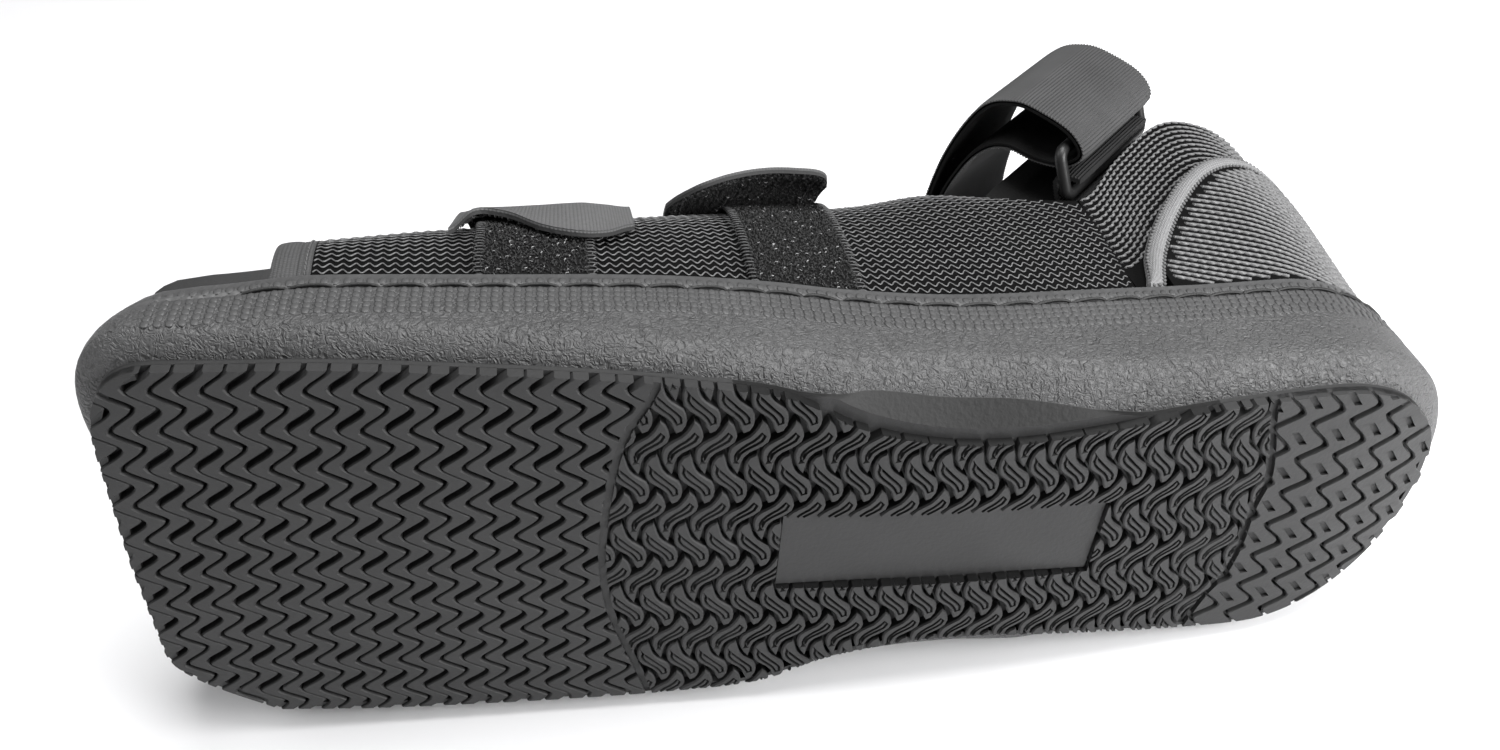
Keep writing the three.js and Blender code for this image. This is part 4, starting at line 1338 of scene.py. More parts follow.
def make_wall_scales(finish):
    """Rows of raised scales under the rim. Every other row may start a little further from the toe."""
    lines = []
    for row, depth in enumerate(SCALE_DEPTHS):
        lines.append(wall_line(depth, SCALE_SINK, SCALES_FROM + row % 2 * SCALE_PITCH / 2))
    scale = dome_object("scale", SCALE_SIZE)
    add_stitches("wall_scales", lines, "wall", finish, SCALE_PITCH, scale, jitter=0.25, seed=17)


def make_wall_stitches(finish):
    t = np.linspace(-1, 1, 9)
    route = np.column_stack([
        t * STITCH_PITCH * STITCH_REACH, STITCH_BOW * (1 - t**2) - 0.5, 0.15 + 0.45 * (1 - t**4) - 0.5 * t**8,
    ])
    stitch = stitch_object("wall stitch", route, STITCH_THREAD)
    line = wall_line(STITCH_DEPTH, STITCH_GROOVE_DEPTH, STITCH_FROM)
    add_stitches("wall_stitches", [line], "wall", finish, STITCH_PITCH, stitch, jitter=0.03)


# Insole
PANEL_THICKNESS = 2.4
TOE_BINDING_WRAP = 0.7
INSOLE_PROUD = 5
INSOLE_EDGE_ROUND = 2
INSOLE_TOE_SWELL = 4
INSOLE_FREE_END = 38
INSOLE_SWELL_END = 90
INSOLE_SWELL_FADE = 50
INSOLE_FREE_FADE = 2.5
INSOLE_TIP_LENGTH = 10
INSOLE_TIP_SHARE = 0.3


def make_insole(finish):
    behind_panel = PANEL_THICKNESS + TOE_BINDING_WRAP + 2 * FIT_GAP

    def level(back, height):
        def at(stations):
            x = stations[:, 0]
            free = np.clip((INSOLE_FREE_END - x) / INSOLE_FREE_FADE, 0, 1)
            gap = RIM_THICKNESS + FIT_GAP + behind_panel * (1 - free)
            tip = np.clip(x / INSOLE_TIP_LENGTH, INSOLE_TIP_SHARE, 1)
            swell = INSOLE_TOE_SWELL * tip * np.clip((INSOLE_SWELL_END - x) / INSOLE_SWELL_FADE, 0, 1)
            return stations[:, 4] - gap - back, rim_height(x) + height + (swell if height > 0 else 0)
        return at

    rings = [sole_ring(level(0, FIT_GAP - SEAT_DEPTH))]
    for turn in np.linspace(0, math.pi / 2, 6):
        back = INSOLE_EDGE_ROUND * (1 - math.cos(turn))
        rings.append(sole_ring(level(back, INSOLE_PROUD - INSOLE_EDGE_ROUND * (1 - math.sin(turn)))))
    insole = make_piece("insole_pad", loft(rings), finish, "insole", "insole", angle=40)


# Upper: side panels of thick knit. Station, half width at the upper edge, its height, upright share
PANEL = [
    (33, 14, 71, 1), (64, 14, 77, 1), (90, 14, 82, 1), (112, 14, 87, 1), (140, 15, 95, 0.95),
    (166, 20, 99, 0.9), (185, 29, 97.5, 0.85), (205, 34, 90, 0.8), (224, 37.5, 83, 0.7),
]
PANEL_FRONT = 39
PANEL_REAR = 224
PANEL_LEAN = 4
PANEL_LEAN_END = 70
PANEL_LEAN_LENGTH = 30
PANEL_LEVELS = 26
TOE_BINDING_WIDTH = 5.5
TOE_TAPE_CROWN = 0.5
PATCH_THICKNESS = 1.5
PATCH_FOOT = 0.01
PATCH_REACH = 0.72
FRONT_PATCH = (74, 98)
REAR_PATCH = (132, 157)
panel_half = column(PANEL, 1)
panel_height = column(PANEL, 2)
panel_swell = column(PANEL, 3)


def panel_point(x, share, offset, side):
    """Points on a side panel, share 0 at the rim and 1 at the upper edge, an offset out from its face."""
    x, share, offset = np.broadcast_arrays(np.asarray(x, float), share, offset)
    x = x - PANEL_LEAN * share * np.clip((PANEL_LEAN_END - x) / PANEL_LEAN_LENGTH, 0, 1)
    foot, rim, top = wall_half(x) - RIM_THICKNESS - FIT_GAP, rim_height(x), panel_height(x)
    middle = lerp(rim, top, panel_swell(x))
    rest = 1 - share
    y = rest**2 * foot + 2 * rest * share * foot + share**2 * panel_half(x)
    z = rest**2 * rim + 2 * rest * share * middle + share**2 * top
    across = 2 * share * (panel_half(x) - foot)
    up = 2 * rest * (middle - rim) + 2 * share * (top - middle)
    length = np.hypot(across, up)
    y = y + offset * up / length
    z = z - offset * across / length
    return np.stack([x, side * y, z], axis=-1)


def panel_shell(side, start, end, low, high, outside, inside, step, seat=False, bulge=0):
    """A closed shell along a side panel between stations and shares, with a rounded upper edge. A bulge
    crowns its outer face, and a seat carries it down behind the rim."""
    shares = np.linspace(low, high, PANEL_LEVELS)
    rings = []
    for x in np.linspace(start, end, max(int((end - start) / step), 3) + 1):
        crown = bulge * math.sin(math.pi * (x - start) / (end - start)) ** 0.5 if start < x < end else 0
        outer = panel_point(x, shares, outside + crown, side)
        inner = panel_point(x, shares, inside, side)
        middle = panel_point(x, high, (outside + inside) / 2, side)
        beyond = outer[-1] - outer[-2]
        beyond *= 0.35 * (outside - inside) / np.linalg.norm(beyond)
        cap = [lerp(outer[-1], middle, 0.5) + 0.8 * beyond, middle + beyond]
        cap.append(lerp(inner[-1], middle, 0.5) + 0.8 * beyond)
        cap.insert(1, lerp(cap[0], cap[1], 0.5))
        ring = list(outer) + cap + list(inner[::-1])
        if seat:
            depth = rim_height(x) - SEAT_DEPTH + FIT_GAP
            ring = [np.array([x, outer[0][1], depth])] + ring + [np.array([x, inner[0][1], depth])]
        rings.append(ring)
    return loft(rings)


def make_panel(side, node, finish):
    shell = panel_shell(side, PANEL_FRONT, PANEL_REAR, 0, 1, 0, -PANEL_THICKNESS, step=2, seat=True)
    make_piece(node + "_knit", shell, finish, "mesh", node)


def make_toe_binding(side, node, finish):
    end = PANEL_FRONT - FIT_GAP
    start, inside = end - TOE_BINDING_WIDTH, -PANEL_THICKNESS - TOE_BINDING_WRAP
    shell = panel_shell(side, start, end, 0.02, 1, 0.1, inside, step=0.5, bulge=TOE_TAPE_CROWN)
    make_piece(node + "_tape", shell, finish, "tape", node)


def make_patch(span, node, finish):
    top = FIT_GAP + PATCH_THICKNESS
    shell = panel_shell(NEAR, span[0], span[1], PATCH_FOOT, PATCH_REACH, top, FIT_GAP, step=1)
    make_piece(node + "_pile", shell, finish, "pile", node)


KNIT_ROW = 2.4
KNIT_PITCH = 2.6
KNIT_SWING = 0.95
KNIT_LIFT = 0.12
KNIT_YARN = 0.19
KNIT_STAND = 0.16
KNIT_TOP_GAP = 1.3
KNIT_REAR_GAP = 0.5


def runs_of(valid):
    """Start and end of each stretch where a row of flags is set."""
    edges = np.flatnonzero(np.diff(np.concatenate([[0], valid.astype(int), [0]])))
    return list(zip(edges[::2], edges[1::2]))


def panel_rows(side, start, end, spacing, first, offset):
    """Lines along a side panel at even distances up from the rim."""
    x = np.linspace(start, end, int((end - start) / 2) + 1)
    shares = np.linspace(0, 1, 60)
    face = panel_point(x[:, None], shares[None, :], 0, side)
    steps = np.linalg.norm(np.diff(face, axis=1), axis=2)
    climbed = np.concatenate([np.zeros((len(x), 1)), np.cumsum(steps, axis=1)], axis=1)
    lines = []
    for distance in np.arange(first, climbed.max(), spacing):
        share = np.array([np.interp(distance, row, shares) for row in climbed])
        for a, b in runs_of(distance < climbed[:, -1] - KNIT_TOP_GAP):
            if b - a > 2:
                at, up = x[a:b], share[a:b]
                line = panel_point(at, up, offset, side)
                out = panel_point(at, up, offset + 1, side) - line
                rise = panel_point(at, up + 0.01, offset, side) - line
                lines.append((line, out, unit(rise)))
    return lines


BEAD = (0.62, 0.5, 0.5)
BEAD_PITCH = 1.5
TOE_STRIP_WIDTH = 2.6
FOOT_ROW_HEIGHT = 0.6
FOOT_ROW_STAND = 0.25
ONE_ROW = 200


def make_panel_foot(side, node, finish):
    """A close row of beads of yarn along the panel's foot, where it goes in behind the rim."""
    start, end = PANEL_FRONT + 1, PANEL_REAR - KNIT_REAR_GAP
    lines = panel_rows(side, start, end, ONE_ROW, FOOT_ROW_HEIGHT, FOOT_ROW_STAND)
    add_stitches(node + "_foot", lines, "mesh", finish, BEAD_PITCH, dome_object("bead", BEAD, 6), jitter=0.2)


def bowed_stitch(name, count, half, top, drop, power, radius):
    """A stitch bowed over the cloth: half its length, its top, and how far its ends drop from that."""
    t = np.linspace(-1, 1, count)
    return stitch_object(name, np.column_stack([t * half, 0 * t, top - drop * t**power]), radius, 4)


def make_toe_strip(side, node, finish, thread_finish):
    """The stitched strip behind the toe tape."""
    start = PANEL_FRONT - FIT_GAP
    shell = panel_shell(side, start, start + TOE_STRIP_WIDTH, 0.02, 0.995, 0.35, 0.01, step=0.65)
    make_piece(node + "_strip", shell, finish, "tape")
    stitch = bowed_stitch("strip stitch", 5, 0.75, 0.2, 0.3, 2, 0.2)
    line = panel_line(start + TOE_STRIP_WIDTH * 0.55, 0.03, 0.98, 0.35, side)
    add_stitches(node + "_strip_stitches", [line], "tape", thread_finish, 2.0, stitch)


def make_panel_yarn(side, node, finish, steps, sides):
    start, end = PANEL_FRONT + TOE_STRIP_WIDTH, PANEL_REAR - KNIT_REAR_GAP
    lines = panel_rows(side, start, end, KNIT_ROW, KNIT_ROW, KNIT_STAND)
    yarn = (KNIT_PITCH, KNIT_SWING, KNIT_LIFT, KNIT_YARN)
    add_yarn(node + "_yarn", lines, "mesh", finish, *yarn, steps, sides)


LOOP = np.array([(-0.32, 0, -0.1), (-0.2, 0.05, 0.3), (0.05, 0, 0.45), (0.25, -0.05, 0.2), (0.3, 0, -0.1)])
LINT = np.array([(-0.7, 0, 0.1), (-0.3, 0.25, 0.5), (0.15, -0.1, 0.55), (0.6, 0.2, 0.35)])
SATIN_LENGTH = 2.6
SATIN_PITCH = 1.4
LOOPS_PER_SQUARE_MM = 2.6
HOOKS_PER_SQUARE_MM = 2.0
PATCH_LINT_PER_SQUARE_MM = 0.12
STRAP_LINT_PER_SQUARE_MM = 0.03
LOOP_RADIUS = 0.11
HOOK_RADIUS = 0.09
LINT_RADIUS = 0.14
LINT_SIZES = (0.3, 0.9)


def patch_grid(span, offset):
    x = np.linspace(span[1] - 0.8, span[0] + 0.8, 12)
    shares = np.linspace(PATCH_FOOT, PATCH_REACH, 16)
    return panel_point(x[:, None], shares[None, :], offset, NEAR)


def panel_line(x, low, high, offset, side, count=24):
    """A line up a side panel at a station, with its directions out of the panel and along the shoe."""
    shares = np.linspace(low, high, count)
    line = panel_point(np.full(count, float(x)), shares, offset, side)
    out = panel_point(np.full(count, float(x)), shares, offset + 1, side) - line
    return line, out, np.tile([1.0, 0, 0], (count, 1))


def add_lint(name, grid, finish, per_square_mm, seed):
    lint = stitch_object("lint", LINT, LINT_RADIUS, 3)
    add_pile(name, grid, finish, per_square_mm, lint, *LINT_SIZES, seed)


def make_patch_details(span, node, loop_finish, lint_finish, thread_finish):
    top = FIT_GAP + PATCH_THICKNESS
    grid = patch_grid(span, top)
    loop = stitch_object("loop", LOOP, LOOP_RADIUS, 3)
    add_pile(node + "_loops", grid, loop_finish, LOOPS_PER_SQUARE_MM, loop)
    add_lint(node + "_lint", grid, lint_finish, PATCH_LINT_PER_SQUARE_MM, 11)
    satin = bowed_stitch("satin", 6, SATIN_LENGTH / 2, 0.3, 0.5, 4, 0.17)
    lines = [panel_line(x, PATCH_FOOT, PATCH_REACH, top - 0.1, NEAR) for x in (span[0] + 0.4, span[1] - 0.4)]
    add_stitches(node + "_satin", lines, "tape", thread_finish, SATIN_PITCH, satin, True)


# Forefoot straps: station, where the free end stops on the panel, how far it stands off, lean to the heel
FRONT_STRAP = [
    (68, 0.2, 3.4, 4), (73, 0.34, 4.6, 4), (79, 0.31, 4.4, 3), (87, 0.2, 4, 1.5), (96, 0.15, 4, 0),
    (102, 0.17, 3.2, 0), (108, 0.23, 2.3, 0),
]
REAR_STRAP = [
    (117.6, 0.6, 3.2, 0), (119, 0.52, 3.9, 0), (121.5, 0.45, 5.6, 0), (125, 0.4, 7.9, 0),
    (131, 0.39, 10.2, 0), (142, 0.42, 11.8, 0), (150, 0.42, 12, 0), (153.5, 0.43, 11.6, 0),
    (155.8, 0.45, 10.6, 0), (157.3, 0.49, 9, 0), (158.2, 0.55, 7, 0),
]
STRAP_THICKNESS = 2.4
STRAP_CLOTH_DEPTH = 1.5
STRAP_FAR_SHARES = np.array([0.12, 0.26, 0.42, 0.6, 0.8, 0.95])
STRAP_NEAR_START = 0.95
STRAP_FREE_START = 0.75
STRAP_LEAN_SHARES = np.array([1, 0.9, 0.5, 0])
STRAP_STATIONS = 44
STRAP_POINTS = 90
ACROSS_STRAP = (-1, 0, 0)


def strap_route(rows, x):
    """Middle line of a forefoot strap at a station, from the far panel over the foot to its free end."""
    sewn = 3 * FIT_GAP + STRAP_THICKNESS / 2
    clear = 4 * FIT_GAP + PATCH_THICKNESS + STRAP_THICKNESS / 2
    last, lift, lean = (float(column(rows, place)(x)) for place in (1, 2, 3))
    shares = np.array([STRAP_NEAR_START, STRAP_FREE_START, (STRAP_FREE_START + last) / 2, last])
    lifts = lerp(min(clear, lift), lift, (np.arange(4) / 3) ** 2)
    far = panel_point(x + lean, STRAP_FAR_SHARES, sewn, FAR)
    near = panel_point(x + lean * STRAP_LEAN_SHARES, shares, lifts, NEAR)
    return smooth_line(np.concatenate([far, near]), STRAP_POINTS)


def band_ring(route, above, below):
    """A flat ring round a strap whose middle line is a route, from its upper to its lower face."""
    up = np.cross(ACROSS_STRAP, headings(route))
    return np.concatenate([route + up * above, (route + up * below)[::-1]])


def make_strap(rows, node, face_finish, pile_finish):
    half = STRAP_CLOTH_DEPTH / 2
    routes = [strap_route(rows, x) for x in np.linspace(rows[0][0], rows[-1][0], STRAP_STATIONS)]
    layers = (("face", half, 0.1, face_finish, "strap"), ("hooks", 0.05, -half, pile_finish, "pile"))
    for label, above, below, finish, slot in layers:
        shell = loft([band_ring(route, above, below) for route in routes])
        make_piece(node + "_" + label, shell, finish, slot, node)


STRAP_EDGE = 0.6
STRAP_STITCH_PITCH = 1.9
STRAP_FREE_PART = 0.66


def strap_underside(rows, stations, count):
    """Points on the underside of a strap's free end, and the direction out of it."""
    faces, outs = [], []
    for x in stations:
        route = strap_route(rows, x)[int(STRAP_POINTS * STRAP_FREE_PART):]
        under = -np.cross(ACROSS_STRAP, headings(route))
        pick = np.linspace(0, len(route) - 1, count).round().astype(int)
        faces.append((route + under * STRAP_CLOTH_DEPTH / 2)[pick])
        outs.append(under[pick])
    return np.array(faces), np.array(outs)


def make_strap_details(rows, node, pile_finish, lint_finish, thread_finish):
    stations = np.linspace(rows[0][0] + STRAP_EDGE, rows[-1][0] - STRAP_EDGE, 24)
    face, out = strap_underside(rows, stations, 16)
    hook = stitch_object("hook", LOOP, HOOK_RADIUS, 3)
    add_pile(node + "_hook_pile", face[::-1], pile_finish, HOOKS_PER_SQUARE_MM, hook, seed=7)
    add_lint(node + "_lint", face[::-1], lint_finish, STRAP_LINT_PER_SQUARE_MM, 13)
    lines = []
    for edge in ((2, slice(0, -1)), (slice(2, -2), -2), (-3, slice(0, -1))):
        lines.append((face[edge], out[edge], np.tile([1.0, 0, 0], (len(face[edge]), 1))))
    dot = bowed_stitch("dot", 5, 0.55, 0.4, 0.4, 2, 0.24)
    add_stitches(node + "_stitches", lines, "tape", thread_finish, STRAP_STITCH_PITCH, dot)


# Heel. Collar: station, height of its top, how far it flares. Counter: station, height of its arched edge
COLLAR = [(224, 83, -5), (240, 99, -2.4), (257, 114, -0.4), (270, 117, -0.6), (298, 117, -1.6)]
COUNTER = [(226, 41), (230, 52), (237, 65), (249, 81), (260, 91), (271, 96.5), (284, 96.5), (298, 95)]
COUNTER_FRONT = 237
COLLAR_THICKNESS = 3
COLLAR_FLARE_SHARE = 0.6
COUNTER_THICKNESS = 2
HEEL_LAYER_GAP = 0.05
TAPE_THICKNESS = 2.6
TAPE_WIDTH = 5
TAPE_CROWN = 0.9
collar_top = column(COLLAR, 1)
collar_flare = column(COLLAR, 2)
counter_top = column(COUNTER, 1)


def heel_stations(start):
    """Stations of the sole's edge from a near seam round the heel to the far seam, with their sides."""
    half = NEAR_OUTLINE[NEAR_OUTLINE[:, 0] > start + 1]
    slope = wall_half(start + 0.5) - wall_half(start - 0.5)
    reach = wall_half(start) - tread_half(start)
    first = np.array([[start, tread_half(start), -slope / 2, 1, reach, 1, RIM_TUCK]])
    first[:, 2:4] = unit(first[:, 2:4])
    half = np.concatenate([first, half])
    sides = np.concatenate([np.full(len(half), NEAR), np.full(len(half), FAR)])
    return np.concatenate([half, half[::-1]]), sides


def collar_point(stations, sides, z, offset):
    """Points on the collar's face at heights, an offset out from it."""
    x, rim = stations[:, 0], rim_height(stations[:, 0])
    share = np.clip((z - rim) / (COLLAR_FLARE_SHARE * (collar_top(x) - rim)), 0, 1)
    flare = lerp(-RIM_THICKNESS - FIT_GAP, collar_flare(x), smooth_step(share))
    grow = stations[:, 4] + flare + offset
    y = sides * (stations[:, 1] + stations[:, 3] * grow)
    return np.column_stack([x + stations[:, 2] * grow, y, np.broadcast_to(z, x.shape)])


def heel_shell(start, low, high, outside, inside, bulge=0, count=22):
    """A closed shell round the heel between two height lines. A bulge crowns its outer face."""
    stations, sides = heel_stations(start)
    x = stations[:, 0]
    shares = np.linspace(0, 1, count)
    outer = []
    for share in shares:
        crown = bulge * math.sin(math.pi * share)
        outer.append(collar_point(stations, sides, lerp(low(x), high(x), share), outside + crown))
    inner = [collar_point(stations, sides, lerp(low(x), high(x), share), inside) for share in shares[::-1]]
    middle = collar_point(stations, sides, high(x) + 0.35 * (outside - inside), (outside + inside) / 2)
    cap = [lerp(outer[-1], middle, 0.6), middle, lerp(inner[0], middle, 0.6)]
    cap.insert(0, (cap[0] + outer[-1]) / 2)
    return loft(np.stack(outer + cap + inner, axis=1))


def tape_low(x):
    slope = counter_top(x + 0.5) - counter_top(x - 0.5)
    low = counter_top(x) - TAPE_WIDTH * np.hypot(1, slope)
    return np.maximum(low, rim_height(x) + FIT_GAP)


def collar_seat(x):
    return rim_height(x) - SEAT_DEPTH + FIT_GAP


def counter_low(x):
    return rim_height(x) + FIT_GAP


def counter_high(x):
    return np.maximum(tape_low(x) + 0.4, counter_low(x) + 1)


def make_heel(mesh_finish, counter_finish, tape_finish):
    start = COUNTER_FRONT - TAPE_WIDTH
    tape_out = FIT_GAP + TAPE_THICKNESS - TAPE_CROWN
    collar = heel_shell(PANEL_REAR + FIT_GAP, collar_seat, collar_top, 0, -COLLAR_THICKNESS)
    make_piece("collar_knit", collar, mesh_finish, "mesh", "heel_collar")
    counter = heel_shell(start, counter_low, counter_high, FIT_GAP + COUNTER_THICKNESS, HEEL_LAYER_GAP)
    make_piece("counter_knit", counter, counter_finish, "mesh", "heel_counter")
    tape = heel_shell(COUNTER[0][0], tape_low, counter_top, tape_out, HEEL_LAYER_GAP, TAPE_CROWN)
    make_piece("counter_tape", tape, tape_finish, "binding", "counter_binding")


def heel_rows(start, heights, low, high, offset):
    """Lines round the heel at heights given by a function of the stations, kept between two height lines."""
    stations, sides = heel_stations(start)
    x = stations[:, 0]
    lines = []
    for z in heights(stations, sides):
        for a, b in runs_of((z > low(x)) & (z < high(x))):
            if b - a > 2:
                line = collar_point(stations[a:b], sides[a:b], z[a:b], offset)
                rise = collar_point(stations[a:b], sides[a:b], z[a:b] + 0.5, offset) - line
                out = np.column_stack([stations[a:b, 2], sides[a:b] * stations[a:b, 3], np.zeros(b - a)])
                lines.append((line, out, unit(rise)))
    return lines


COUNTER_ROW = 2.2
COUNTER_FALL = 0.34
COUNTER_MEASURED_AT = 60
COUNTER_ROW_SPAN = (44, 135)
COLLAR_FIRST_ROW = 0.6
COLLAR_ROWS = 32
KNOT = (0.55, 0.5, 0.45)
KNOT_PITCH = 1.5
KNOT_MARGIN = 0.6
# Yarn round the heel: pitch, swing, lift, thickness, steps, sides
COUNTER_YARN = (2.2, 0.3, 0.2, 0.55, 5, 5)
COLLAR_YARN = (KNIT_PITCH, 0.5, 0.3, 0.42, 5, 4)


def counter_heights(stations, sides):
    """Rows of the counter, falling toward the back of the heel."""
    steps = np.linalg.norm(np.diff(collar_point(stations, sides, COUNTER_MEASURED_AT, 0), axis=0), axis=1)
    travelled = np.concatenate([[0], np.cumsum(steps)])
    from_seam = np.minimum(travelled, travelled[-1] - travelled)
    return [start - COUNTER_FALL * from_seam for start in np.arange(*COUNTER_ROW_SPAN, COUNTER_ROW)]


def collar_heights(stations, sides):
    """Rows of the collar, following its top edge."""
    top = collar_top(stations[:, 0])
    return [top - COLLAR_FIRST_ROW - KNIT_ROW * row for row in range(COLLAR_ROWS)]


def above_tape(x):
    return np.where(x < COUNTER[0][0], rim_height(x) + 1, counter_top(x) + 0.5)


def make_heel_yarn(collar_finish, counter_finish):
    start = COUNTER_FRONT - TAPE_WIDTH + 1.5
    lines = heel_rows(
        start, counter_heights, lambda x: counter_low(x) + 0.2, lambda x: tape_low(x) - 0.3,
        FIT_GAP + COUNTER_THICKNESS,
    )
    add_yarn("counter_yarn", lines, "mesh", counter_finish, *COUNTER_YARN)
    lines = heel_rows(PANEL_REAR + 1, collar_heights, above_tape, collar_top, HEEL_LAYER_GAP)
    add_yarn("collar_yarn", lines, "mesh", collar_finish, *COLLAR_YARN)


def tape_edges(margin):
    """Lines along both edges of the counter's tape."""
    stations, sides = heel_stations(COUNTER[0][0] + 1)
    x = stations[:, 0]
    lines = []
    for z in (counter_top(x) - margin, tape_low(x) + margin):
        line = collar_point(stations, sides, z, FIT_GAP + TAPE_THICKNESS - 0.6 * TAPE_CROWN)
        out = np.column_stack([stations[:, 2], sides * stations[:, 3], 0 * x])
        lines.append((line, out, np.tile([0, 0, 1.0], (len(x), 1))))
    return lines


def make_tape_stitches(finish):
    knot = dome_object("knot", KNOT, 6)
    edges = tape_edges(KNOT_MARGIN)
    add_stitches("tape_overcast", edges, "binding", finish, KNOT_PITCH, knot, jitter=0.4)


# Ankle strap, ring and tab, on the slope of the collar's front edge: distance across and height on the slope
ANKLE_SLOPE = math.radians(46)
ANKLE_ROUTE = [
    (44.6, -122), (44.6, -106), (40, -88), (24, -70), (4, -63.6), (-16, -63.2), (-31, -68), (-39, -73.6),
    (-42, -80), (-41.4, -88), (-42.8, -96), (-47.2, -99.9), (-51.8, -96), (-54.2, -88), (-54.6, -79),
    (-49, -70), (-30, -62), (-4, -58.4), (16, -60.5),
]
ANKLE_STRAP_START = 220
ANKLE_STRAP_WIDTH = 45
WEBBING_THICKNESS = 2.2
RING_STRAP_BAR = (-47.2, -95)
RING_TAB_BAR = (-35.8, -99.8)
RING_BAR = 3.2
RING_CORNER = 4
RING_SLOT_LENGTH = 46
RING_CORNER_POINTS = 7
RING_SIDES = 14
# The tab's third column is how much further out its rear edge lies
TAB_ROUTE = [
    (-33.8, -119, 2.2), (-33.2, -111, 1.6), (-32.6, -104, 0.6), (-31.8, -99.3, 0), (-32.4, -96.8, 0),
    (-34.6, -95.7, 0), (-37.2, -95, 0), (-39, -96.4, 0), (-39.7, -98.8, 0), (-39.9, -101.4, 0),
]
TAB_LINING = [(-31.2, -118), (-30.2, -108), (-29.4, -98), (-29.2, -88), (-30.4, -80)]
TAB_START = 220.5
TAB_WIDTH = 44
LINING_START = 211.5
LINING_WIDTH = 52
LINING_HALF = 0.6
SLOPE_ALONG = np.array([math.cos(ANKLE_SLOPE), 0, math.sin(ANKLE_SLOPE)])
SLOPE_UP = np.array([-math.sin(ANKLE_SLOPE), 0, math.cos(ANKLE_SLOPE)])
SLOPE_ACROSS = np.array([0, 1.0, 0])
RIB_PITCH = 0.85
RIB_HEIGHT = 0.36
BAND_EDGE_THINNING = 0.3


def on_slope(across, height, along):
    across, height, along = np.broadcast_arrays(across, height, along)
    return across[..., None] * SLOPE_ACROSS + height[..., None] * SLOPE_UP + along[..., None] * SLOPE_ALONG


def slope_band(front, rear, start, width, above, below, ribbed, rows=15):
    """A band across the slope, from its route at the front edge to that at the rear edge, between two heights
    off the route. The two flags of ribbed say which of its faces have ribs, upper and lower."""
    front, rear = np.asarray(front, float), np.asarray(rear, float)
    length = np.linalg.norm(np.diff(smooth_line(front, 200), axis=0), axis=1).sum()
    count = int(length / RIB_PITCH) * 4 + 1
    front, rear = smooth_line(front, count), smooth_line(rear, count)
    rib = RIB_HEIGHT * (1 + np.cos(np.arange(count) * math.pi / 2)) / 2
    rings = []
    for share in np.linspace(0, 1, rows):
        line = lerp(front, rear, share)
        along = headings(line)
        out = np.column_stack([along[:, 1], -along[:, 0]])
        edge = BAND_EDGE_THINNING * max(abs(2 * share - 1) * 6 - 5, 0)
        top = above - edge - (RIB_HEIGHT - rib) * ribbed[0]
        bottom = below + edge + (RIB_HEIGHT - rib) * ribbed[1]
        upper, lower = line + out * top[:, None], (line + out * bottom[:, None])[::-1]
        ring = np.concatenate([upper, lower])
        rings.append(on_slope(ring[:, 0], ring[:, 1], start + width * share))
    return loft(rings)


def make_ankle(webbing_finish, lining_finish, tab_finish, ring_finish):
    front = [(row[0], row[1]) for row in TAB_ROUTE]
    rear = [(row[0] - row[2], row[1]) for row in TAB_ROUTE]
    strap = (ANKLE_ROUTE, ANKLE_ROUTE, ANKLE_STRAP_START, ANKLE_STRAP_WIDTH)
    tab = (front, rear, TAB_START, TAB_WIDTH)
    sheet = (TAB_LINING, TAB_LINING, LINING_START, LINING_WIDTH)
    half = WEBBING_THICKNESS / 2
    bands = (
        ("ankle_webbing", ["ankle_strap"], strap, -0.05, -half, (0, 1), webbing_finish),
        ("ankle_lining", ["ankle_strap"], strap, half, -0.1, (0, 0), lining_finish),
        ("tab_webbing", ["ring_tab"], tab, half, -half, (1, 1), tab_finish),
        ("tab_lining", [], sheet, LINING_HALF, -LINING_HALF, (0, 0), lining_finish),
    )
    for name, nodes, route, above, below, ribbed, finish in bands:
        make_piece(name, slope_band(*route, above, below, ribbed), finish, "webbing", *nodes, angle=60)
    make_ring(ring_finish)


def make_ring(finish):
    """The ring: a round bar bent to a rectangle with rounded corners."""
    tab_bar, strap_bar = np.array(RING_TAB_BAR), np.array(RING_STRAP_BAR)
    between = strap_bar - tab_bar
    pitch = np.linalg.norm(between)
    between = between / pitch
    a, b = (RING_SLOT_LENGTH + RING_BAR) / 2, pitch / 2
    corner = RING_CORNER - RING_BAR / 2
    path = []
    for centre_a, centre_b, start in ((a, b, 0), (-a, b, 90), (-a, -b, 180), (a, -b, 270)):
        for turn in np.radians(start + np.linspace(0, 90, RING_CORNER_POINTS)):
            x = centre_a - math.copysign(corner, centre_a) + corner * math.cos(turn)
            y = centre_b - math.copysign(corner, centre_b) + corner * math.sin(turn)
            path.append((x, y))
    path = np.array(path)
    ahead = unit(np.roll(path, -1, axis=0) - np.roll(path, 1, axis=0))
    out = np.column_stack([ahead[:, 1], -ahead[:, 0]])
    middle = (tab_bar + strap_bar) / 2
    through = np.array([-between[1], between[0]])
    rings = []
    for turn in np.linspace(0, 2 * math.pi, RING_SIDES, endpoint=False):
        flat = path + out * (RING_BAR / 2 * math.cos(turn))
        rise = RING_BAR / 2 * math.sin(turn)
        spot = middle + flat[:, 1:2] * between + through * rise
        rings.append(on_slope(spot[:, 0], spot[:, 1], ANKLE_STRAP_START + ANKLE_STRAP_WIDTH / 2 + flat[:, 0]))
    rings = np.array(rings)
    count, size = rings.shape[:2]
    faces = []
    for r in range(count):
        for i in range(size):
            n, k = (i + 1) % size, (r + 1) % count
            faces.append((r * size + i, r * size + n, k * size + n, k * size + i))
    ring = link_piece("ring_bar", mesh_from("ring_bar", rings.reshape(-1, 3), faces))
    place_piece(ring, finish, "plastic", "ankle_ring")


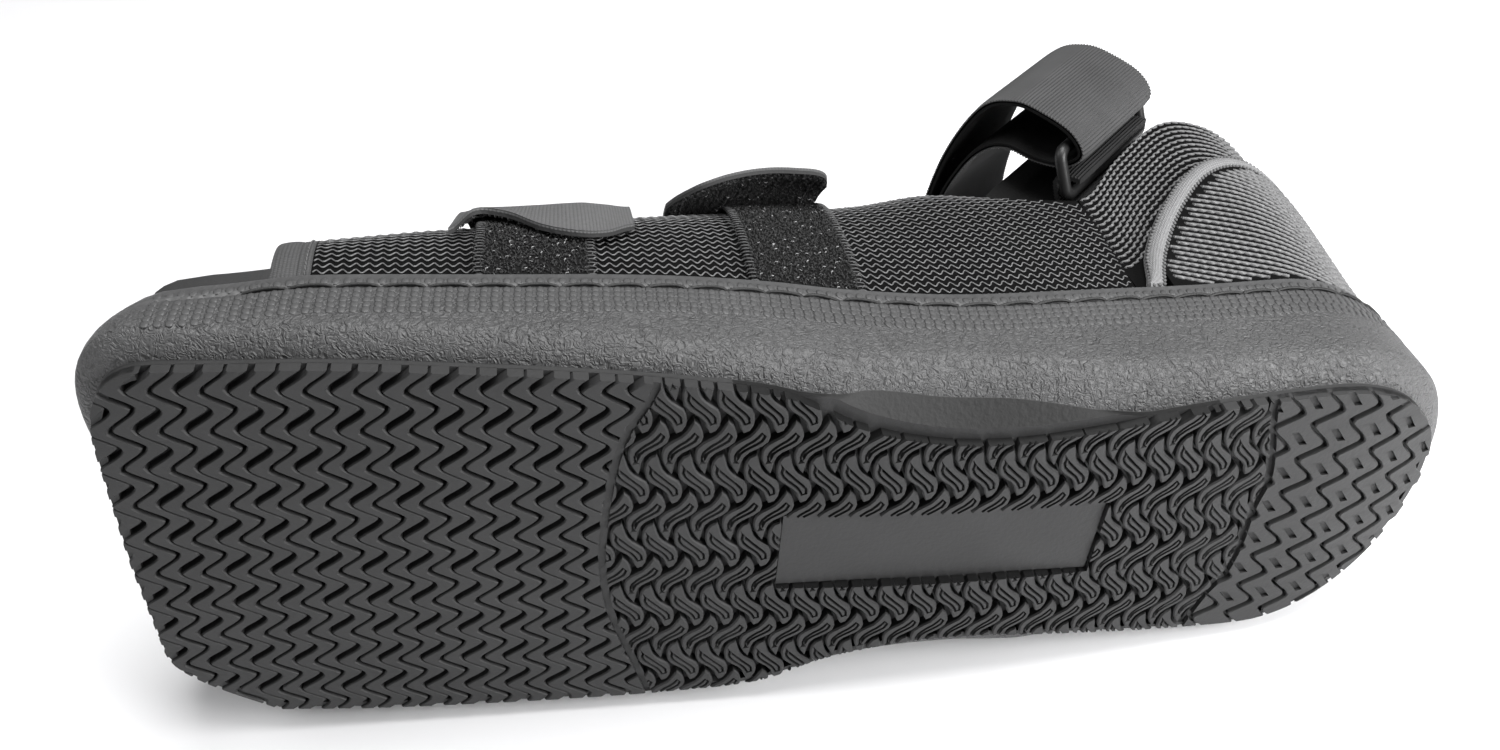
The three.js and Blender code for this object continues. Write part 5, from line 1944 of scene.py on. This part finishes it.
set_camera()
set_studio()
TREAD_RUBBER = tread_finish("tread rubber", 0.021, 0.034, 0.55, 900, 0.25)
WALL_RUBBER = wall_finish()
WALL_SCALES = rubber_finish("wall scales", *WALL_TONES, 0.45, 1600, 0.2)
INSOLE_CLOTH = rubber_finish("insole cloth", 0.03, 0.05, 0.9, 900, 0.4, CLOTH_GLOSS)
BLACK_PILE = rubber_finish("black pile", 0.006, 0.012, 0.95, 900, 0.5, CLOTH_GLOSS)
HOOK_CLOTH = rubber_finish("hook cloth", 0.035, 0.055, 0.9, 900, 0.5, CLOTH_GLOSS)
BLACK_KNIT = rubber_finish("black knit", 0.003, 0.006, 0.9, 900, 0.3, KNIT_GLOSS)
KNIT_THREAD = thread_finish("knit yarn", 0.06, 0.22, 0.38)
GREY_TAPE = weave_finish("grey tape", 0.05, 0.1, 0.7, 0.8)
PALE_TAPE = weave_finish("pale tape", 0.13, 0.27, 0.7, 0.9)
STRAP_CLOTH = weave_finish("strap cloth", 0.08, 0.13, 0.7, 0.8)
WEBBING = rubber_finish("webbing", 0.045, 0.085, 0.6, 900, 0.3, CLOTH_GLOSS)
DARK_WEBBING = rubber_finish("dark webbing", 0.02, 0.04, 0.7, 900, 0.3, CLOTH_GLOSS)
RING_PLASTIC = rubber_finish("ring plastic", 0.01, 0.02, 0.4, 500, 0.1, 0.4)
HEEL_THREAD = thread_finish("heel yarn", 0.07, 0.2, 0.42)
DARK_THREAD = thread_finish("dark thread", 0.004, 0.012, 0.6)
GREY_THREAD = thread_finish("grey thread", 0.06, 0.13, 0.6)
LINT_FIBRE = thread_finish("lint", 0.2, 0.45, 0.8)
LOOP_THREAD = thread_finish("loop thread", 0.008, 0.03, 0.6)
SATIN_THREAD = thread_finish("satin thread", 0.04, 0.09, 0.5)
make_outsole(TREAD_RUBBER)
make_wall(WALL_RUBBER)
make_wall_scales(WALL_SCALES)
make_wall_stitches(DARK_THREAD)
make_insole(INSOLE_CLOTH)
make_panel(NEAR, "near_panel", BLACK_KNIT)
make_panel(FAR, "far_panel", BLACK_KNIT)
make_panel_yarn(NEAR, "near_panel", KNIT_THREAD, 6, 4)
make_panel_yarn(FAR, "far_panel", KNIT_THREAD, 4, 3)
for side, node in ((NEAR, "near_toe_binding"), (FAR, "far_toe_binding")):
    make_toe_binding(side, node, GREY_TAPE)
    make_toe_strip(side, node, GREY_TAPE, GREY_THREAD)
for side, node in ((NEAR, "near_panel"), (FAR, "far_panel")):
    make_panel_foot(side, node, KNIT_THREAD)
for span, node in ((FRONT_PATCH, "front_loop_patch"), (REAR_PATCH, "rear_loop_patch")):
    make_patch(span, node, BLACK_PILE)
    make_patch_details(span, node, LOOP_THREAD, LINT_FIBRE, SATIN_THREAD)
for rows, node in ((FRONT_STRAP, "front_strap"), (REAR_STRAP, "rear_strap")):
    make_strap(rows, node, STRAP_CLOTH, HOOK_CLOTH)
    make_strap_details(rows, node, LOOP_THREAD, LINT_FIBRE, SATIN_THREAD)
make_heel(BLACK_KNIT, BLACK_KNIT, PALE_TAPE)
make_heel_yarn(HEEL_THREAD, HEEL_THREAD)
make_tape_stitches(GREY_THREAD)
make_ankle(WEBBING, BLACK_PILE, DARK_WEBBING, RING_PLASTIC)
